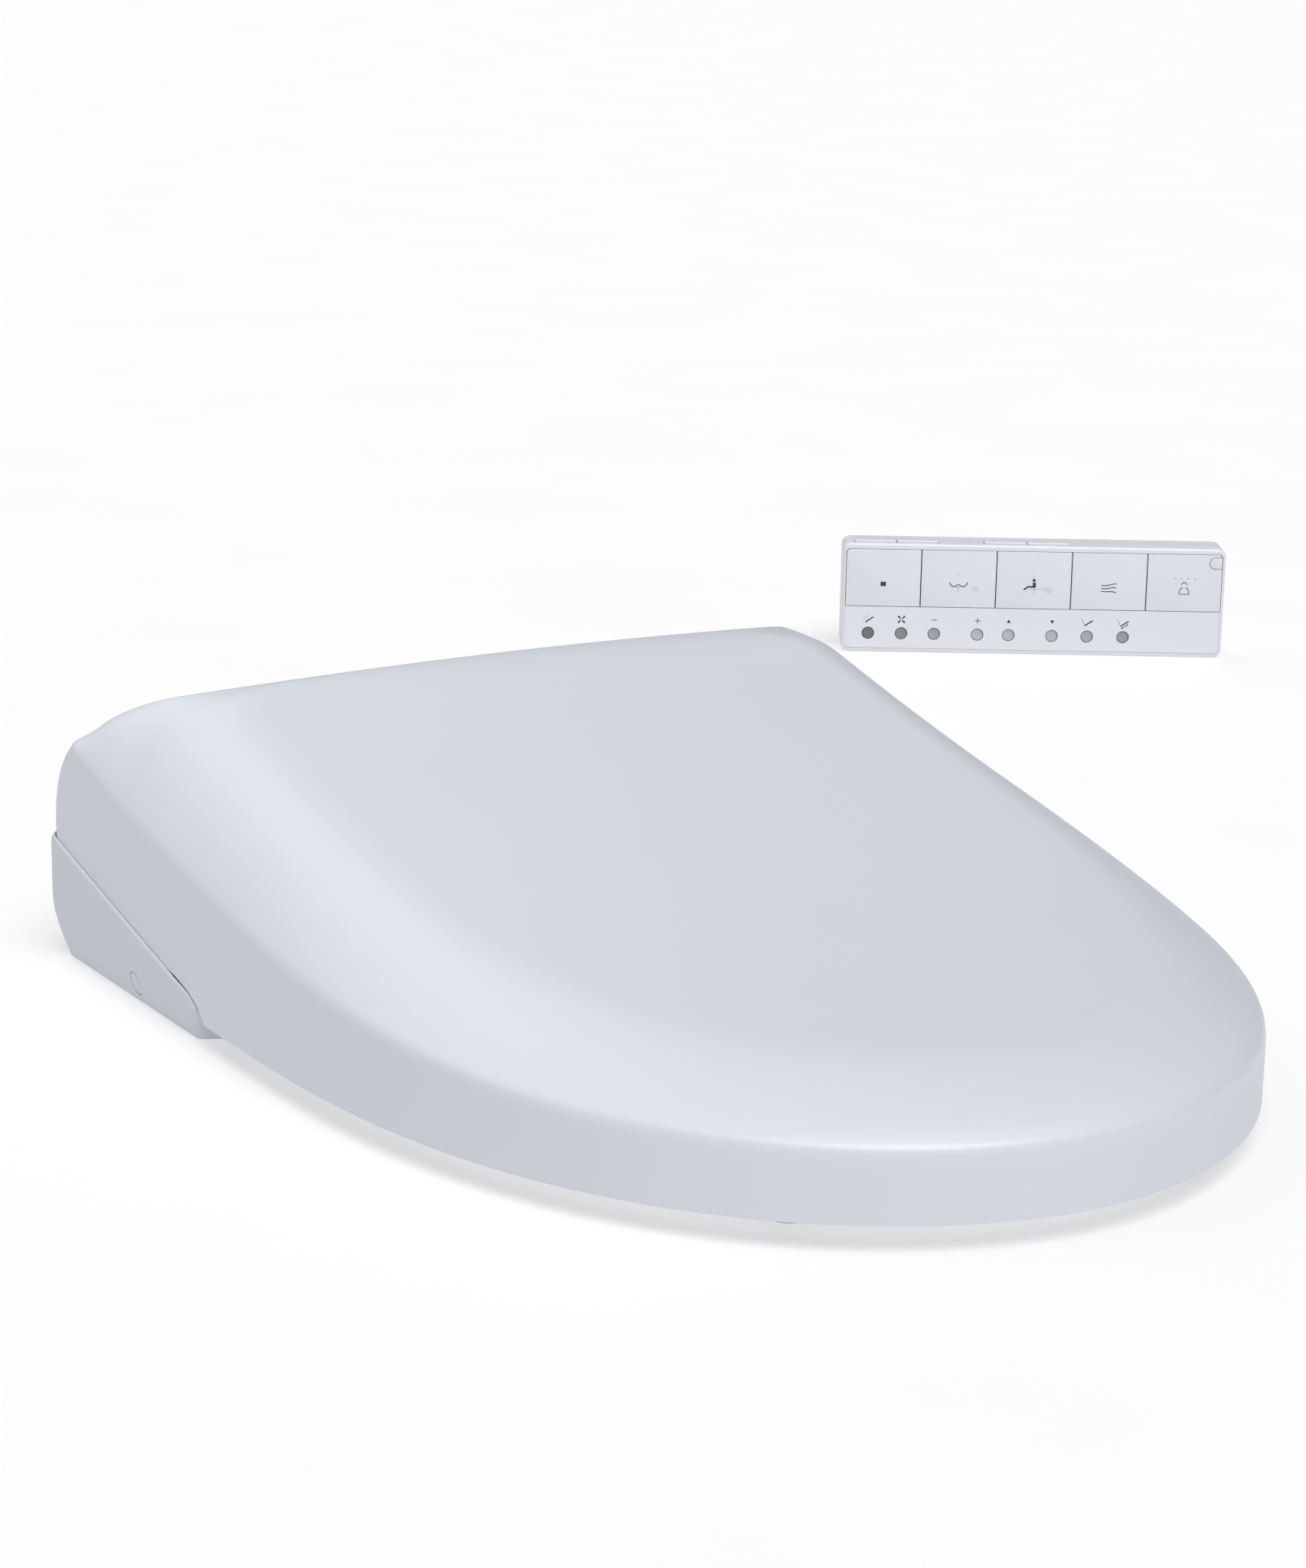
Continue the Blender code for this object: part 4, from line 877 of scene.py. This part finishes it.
def symbol_shapes():
    """Each symbol: its name, body, middle, and its dark and pale outlines."""
    pi = math.pi
    symbols = []

    def add(name, body, middle, dark, pale=()):
        """Keep one symbol."""
        symbols.append((name, body, middle, dark, pale))

    row, low = PANEL_SYMBOL_Z, BUTTON_SYMBOL_Z
    add("square", "panel_1", (-2 * PANEL_PITCH, row), [[(-1.6, -1.3), (1.6, -1.3), (1.6, 1.3), (-1.6, 1.3)]])
    cup = arc((-2.6, 1.8), 2.6, pi * 1.02, pi * 1.86, 16)
    cups = [stroke(cup, 0.55), stroke([(-x, z) for x, z in cup], 0.55)]
    left = [(-3.6, -1.3), (-2.8, -1.1), (-2.0, -1.0)]
    drops = dots(left + [(-x, z) for x, z in left[::-1]], 0.16, 8)
    stem = [stroke([(0, -1.0), (0, -4.2)], 0.35), stroke([(-1.2, -1.0), (0, -1.6), (1.2, -1.0)], 0.3)]
    grid = [(10 + 1.1 * i, -1.0 - 1.1 * j) for j in range(3) for i in (-1, 0, 1)]
    spray = dots(grid + [(10, -4.2)], 0.28, 10)
    lamps = dots([(0, 6.4), (10, 6.4)], 0.3, 12)
    add("rear_wash", "panel_2", (-PANEL_PITCH, row), cups, drops + stem + spray + lamps)
    figure = [circle((0.9, 3.7), 0.95, 20), [(0.1, -0.3), (2.0, -0.3), (2.0, 2.4), (0.1, 2.4)],
              stroke([(1.9, -0.2), (-2.6, -0.2), (-5.0, -2.0)], 1.0)]
    cone = []
    for j in range(4):
        cone += [(9.5 + 1.1 * (i - j / 2), -3.8 + 1.0 * j) for i in range(-1 - j // 2, 2 + (j + 1) // 2)]
    under = [stroke([(-1.8, -1.6), (4.6, -1.6)], 0.3), stroke([(1.2, -1.6), (1.2, -4.4)], 0.35)]
    lamps = dots([(0, 6.4), (9.6, 6.4)], 0.3, 12)
    add("front_wash", "panel_3", (-0.0007, row), figure, dots(cone, 0.26, 10) + under + lamps)
    waves = [wave(-4.4, 4.4, z, lift, 0.5) for z, lift in ((1.5, 1.0), (-0.3, 0.4), (-2.0, -0.9))]
    add("air", "panel_4", (PANEL_PITCH, row), waves)
    body = [(-3.0, -3.2), (3.0, -3.2), (3.0, -1.4), (2.4, 0.2), (1.0, 1.2)]
    head = arc((0, 2.6), 1.75, -pi * 0.28, pi * 1.28, 20)
    ring = np.array(body + head + [(-x, z) for x, z in body[:1:-1]] + [(-3.0, -1.4)])
    inward = (ring - [0, -0.6]) / np.linalg.norm(ring - [0, -0.6], axis=1)[:, None]
    lamps = dots([(x, 6.4) for x in (-5.6, -1.7, 2.2, 6.1)], 0.42, 12)
    add("sitter", "panel_5", (2 * PANEL_PITCH, row), [(ring, ring - inward * 0.5)], lamps)
    x = BUTTON_X
    wand = [stroke([(-1.6, -1.9), (3.0, 1.3)], 0.75)]
    specks = [(-2.8, 0.2), (-2.0, 1.2), (-1.2, 2.2), (-0.4, 1.2), (-1.4, 0.2), (-2.4, -0.9), (-0.6, 3.0)]
    add("clean", "remote", (x[0], low), wand, dots(specks, 0.3, 8))
    blade = np.array([(0.25, 0.1), (1.0, 0.15), (2.2, 0.35), (2.9, 1.2), (2.3, 1.6), (1.3, 1.1), (0.5, 0.55)])
    blades = []
    for k in range(4):
        turn = k * pi / 2 + 0.35
        spin = np.array([(math.cos(turn), math.sin(turn)), (-math.sin(turn), math.cos(turn))])
        blades.append(blade @ spin)
    add("fan", "remote", (x[1], low), blades)
    add("minus", "remote", (x[2], low), [stroke([(-1.6, 0), (1.6, 0)], 0.4)])
    plus = [(-1.6, -0.2), (-0.2, -0.2), (-0.2, -1.6), (0.2, -1.6), (0.2, -0.2), (1.6, -0.2)]
    plus += [(-a, -b) for a, b in plus]
    add("plus", "remote", (x[3], low), [plus])
    add("up", "remote", (x[4], low), [[(-1.2, -1.0), (1.2, -1.0), (0, 1.2)]])
    add("down", "remote", (x[5], low), [[(-1.2, 1.0), (0, -1.2), (1.2, 1.0)]])
    leaf = stroke([(-1.6, -1.9), (3.2, 1.3)], 0.75)
    ghost = stroke([(-3.6, 2.6), (-1.9, -1.2)], 0.4)
    add("lid", "remote", (x[6], low), [leaf], [ghost])
    heads = [[(-1.2, -3.4), (0.2, -3.1), (-0.6, -2.1)], [(3.0, -0.5), (1.6, -0.8), (2.4, -1.8)]]
    arrow = [stroke([(-0.6, -3.0), (2.4, -0.9)], 0.35), *heads]
    add("seat_and_lid", "remote", (x[7], low), [leaf, *arrow], [ghost])
    return symbols


def print_symbols():
    """Thin printed symbols on the remote's face and keys."""
    tones = {"dark": (0.035, 0.038, 0.045), "pale": (0.36, 0.38, 0.42)}
    inks = {}
    for tone, colour in tones.items():
        inks[tone] = plastic(f"{tone}_ink", colour, rough=0.5, coat=0.0, bump=0.05, mottle=0.1)
    for name, body, (x, z), dark, pale in symbol_shapes():
        ground = FACE - PANEL_RAISE if body.startswith("panel") else FACE
        for tone, shapes in (("dark", dark), ("pale", pale)):
            if not shapes:
                continue
            bm = bmesh.new()
            for shape in shapes:
                add_print(bm, shape, (x, z), ground)
            bmesh.ops.recalc_face_normals(bm, faces=bm.faces)
            mesh = bpy.data.meshes.new(f"symbol_{name}_{tone}")
            bm.to_mesh(mesh)
            bm.free()
            mesh.materials.append(inks[tone])
            stand(place_object(mesh.name, mesh), body)


def add_print(bm, shape, middle, ground):
    """Raise one outline, or the band between two outlines, by the thickness of the ink."""
    band = isinstance(shape, tuple)
    loops = []
    for points in shape if band else (shape,):
        flat = [(middle[0] + px / 1000, middle[1] + pz / 1000) for px, pz in points]
        depths = (ground + INK / 2, ground - INK)
        loops.append([[bm.verts.new((px, y, pz)) for px, pz in flat] for y in depths])
    for back, front in loops:
        for i in range(len(back)):
            j = (i + 1) % len(back)
            bm.faces.new((back[i], back[j], front[j], front[i]))
    if band:
        for layer in (0, 1):
            outer, inner = loops[0][layer], loops[1][layer]
            for i in range(len(outer)):
                j = (i + 1) % len(outer)
                bm.faces.new((outer[i], outer[j], inner[j], inner[i]))
    else:
        bm.faces.new(loops[0][0])
        bm.faces.new(loops[0][1])


# ---------------------------------------------------------------- carried-over nodes

SLOT_LOOKS = {
    "shell": "case", "seat": "seat", "inner": "inner", "dark": "dark", "metal": "metal", "board": "board",
    "rubber": "rubber", "key": "inner", "cell": "cell",
}


def dress_nodes():
    """Give every CAD node that stays its procedural material."""
    slots = {row["node"]: row["material_slot"] for row in frame["record"]["subparts"]}
    for name, node in frame["nodes"].items():
        look = SLOT_LOOKS[slots[name]]
        if name in ("remote_back", "battery_cover"):
            look = "remote"
        node.data.materials.clear()
        node.data.materials.append(MATERIALS[look])


# ---------------------------------------------------------------- studio


def soft_light(name, source, width, power, colour):
    """Distant light as wide as a softbox, shining from the source direction."""
    data = bpy.data.lights.new(name, "SUN")
    data.angle = math.radians(width)
    data.energy = power
    data.color = colour
    light = place_object(name, data)
    light.rotation_euler = (-Vector(source)).to_track_quat("-Z", "Y").to_euler()


def make_studio():
    """Camera, glowing pale floor, soft lights and a dim surround."""
    camera = place_object("camera", bpy.data.cameras.new("camera"))
    camera.data.lens = CAMERA_LENS
    camera.data.sensor_width = CAMERA_SENSOR
    camera.location = CAMERA_PLACE
    camera.rotation_euler = [math.radians(a) for a in CAMERA_TURN]
    camera.data.clip_end = CAMERA_REACH
    bpy.context.scene.camera = camera
    bm = bmesh.new()
    bmesh.ops.create_grid(bm, x_segments=4, y_segments=4, size=FLOOR_HALF)
    mesh = bpy.data.meshes.new("floor")
    bm.to_mesh(mesh)
    bm.free()
    mesh.materials.append(plastic("floor_paper", FLOOR_COLOUR, rough=0.9, coat=0, bump=0))
    floor = place_object("floor", mesh)
    floor.location.z = FLOOR_Z
    shader = mesh.materials[0].node_tree.nodes["Principled BSDF"]
    shader.inputs["Emission Color"].default_value = (1.0, 1.0, 1.0, 1)
    shader.inputs["Emission Strength"].default_value = FLOOR_GLOW
    world = bpy.data.worlds.new("studio")
    bpy.context.scene.world = world
    world.use_nodes = True
    world.node_tree.nodes["Background"].inputs["Color"].default_value = WORLD_COLOUR
    world.node_tree.nodes["Background"].inputs["Strength"].default_value = WORLD_LIGHT
    for light in LIGHTS:
        soft_light(*light)
    bpy.context.scene.view_settings.view_transform = "Standard"


dress_nodes()
make_lid()
make_case()
make_deck()
make_seat()
make_remote()
make_studio()
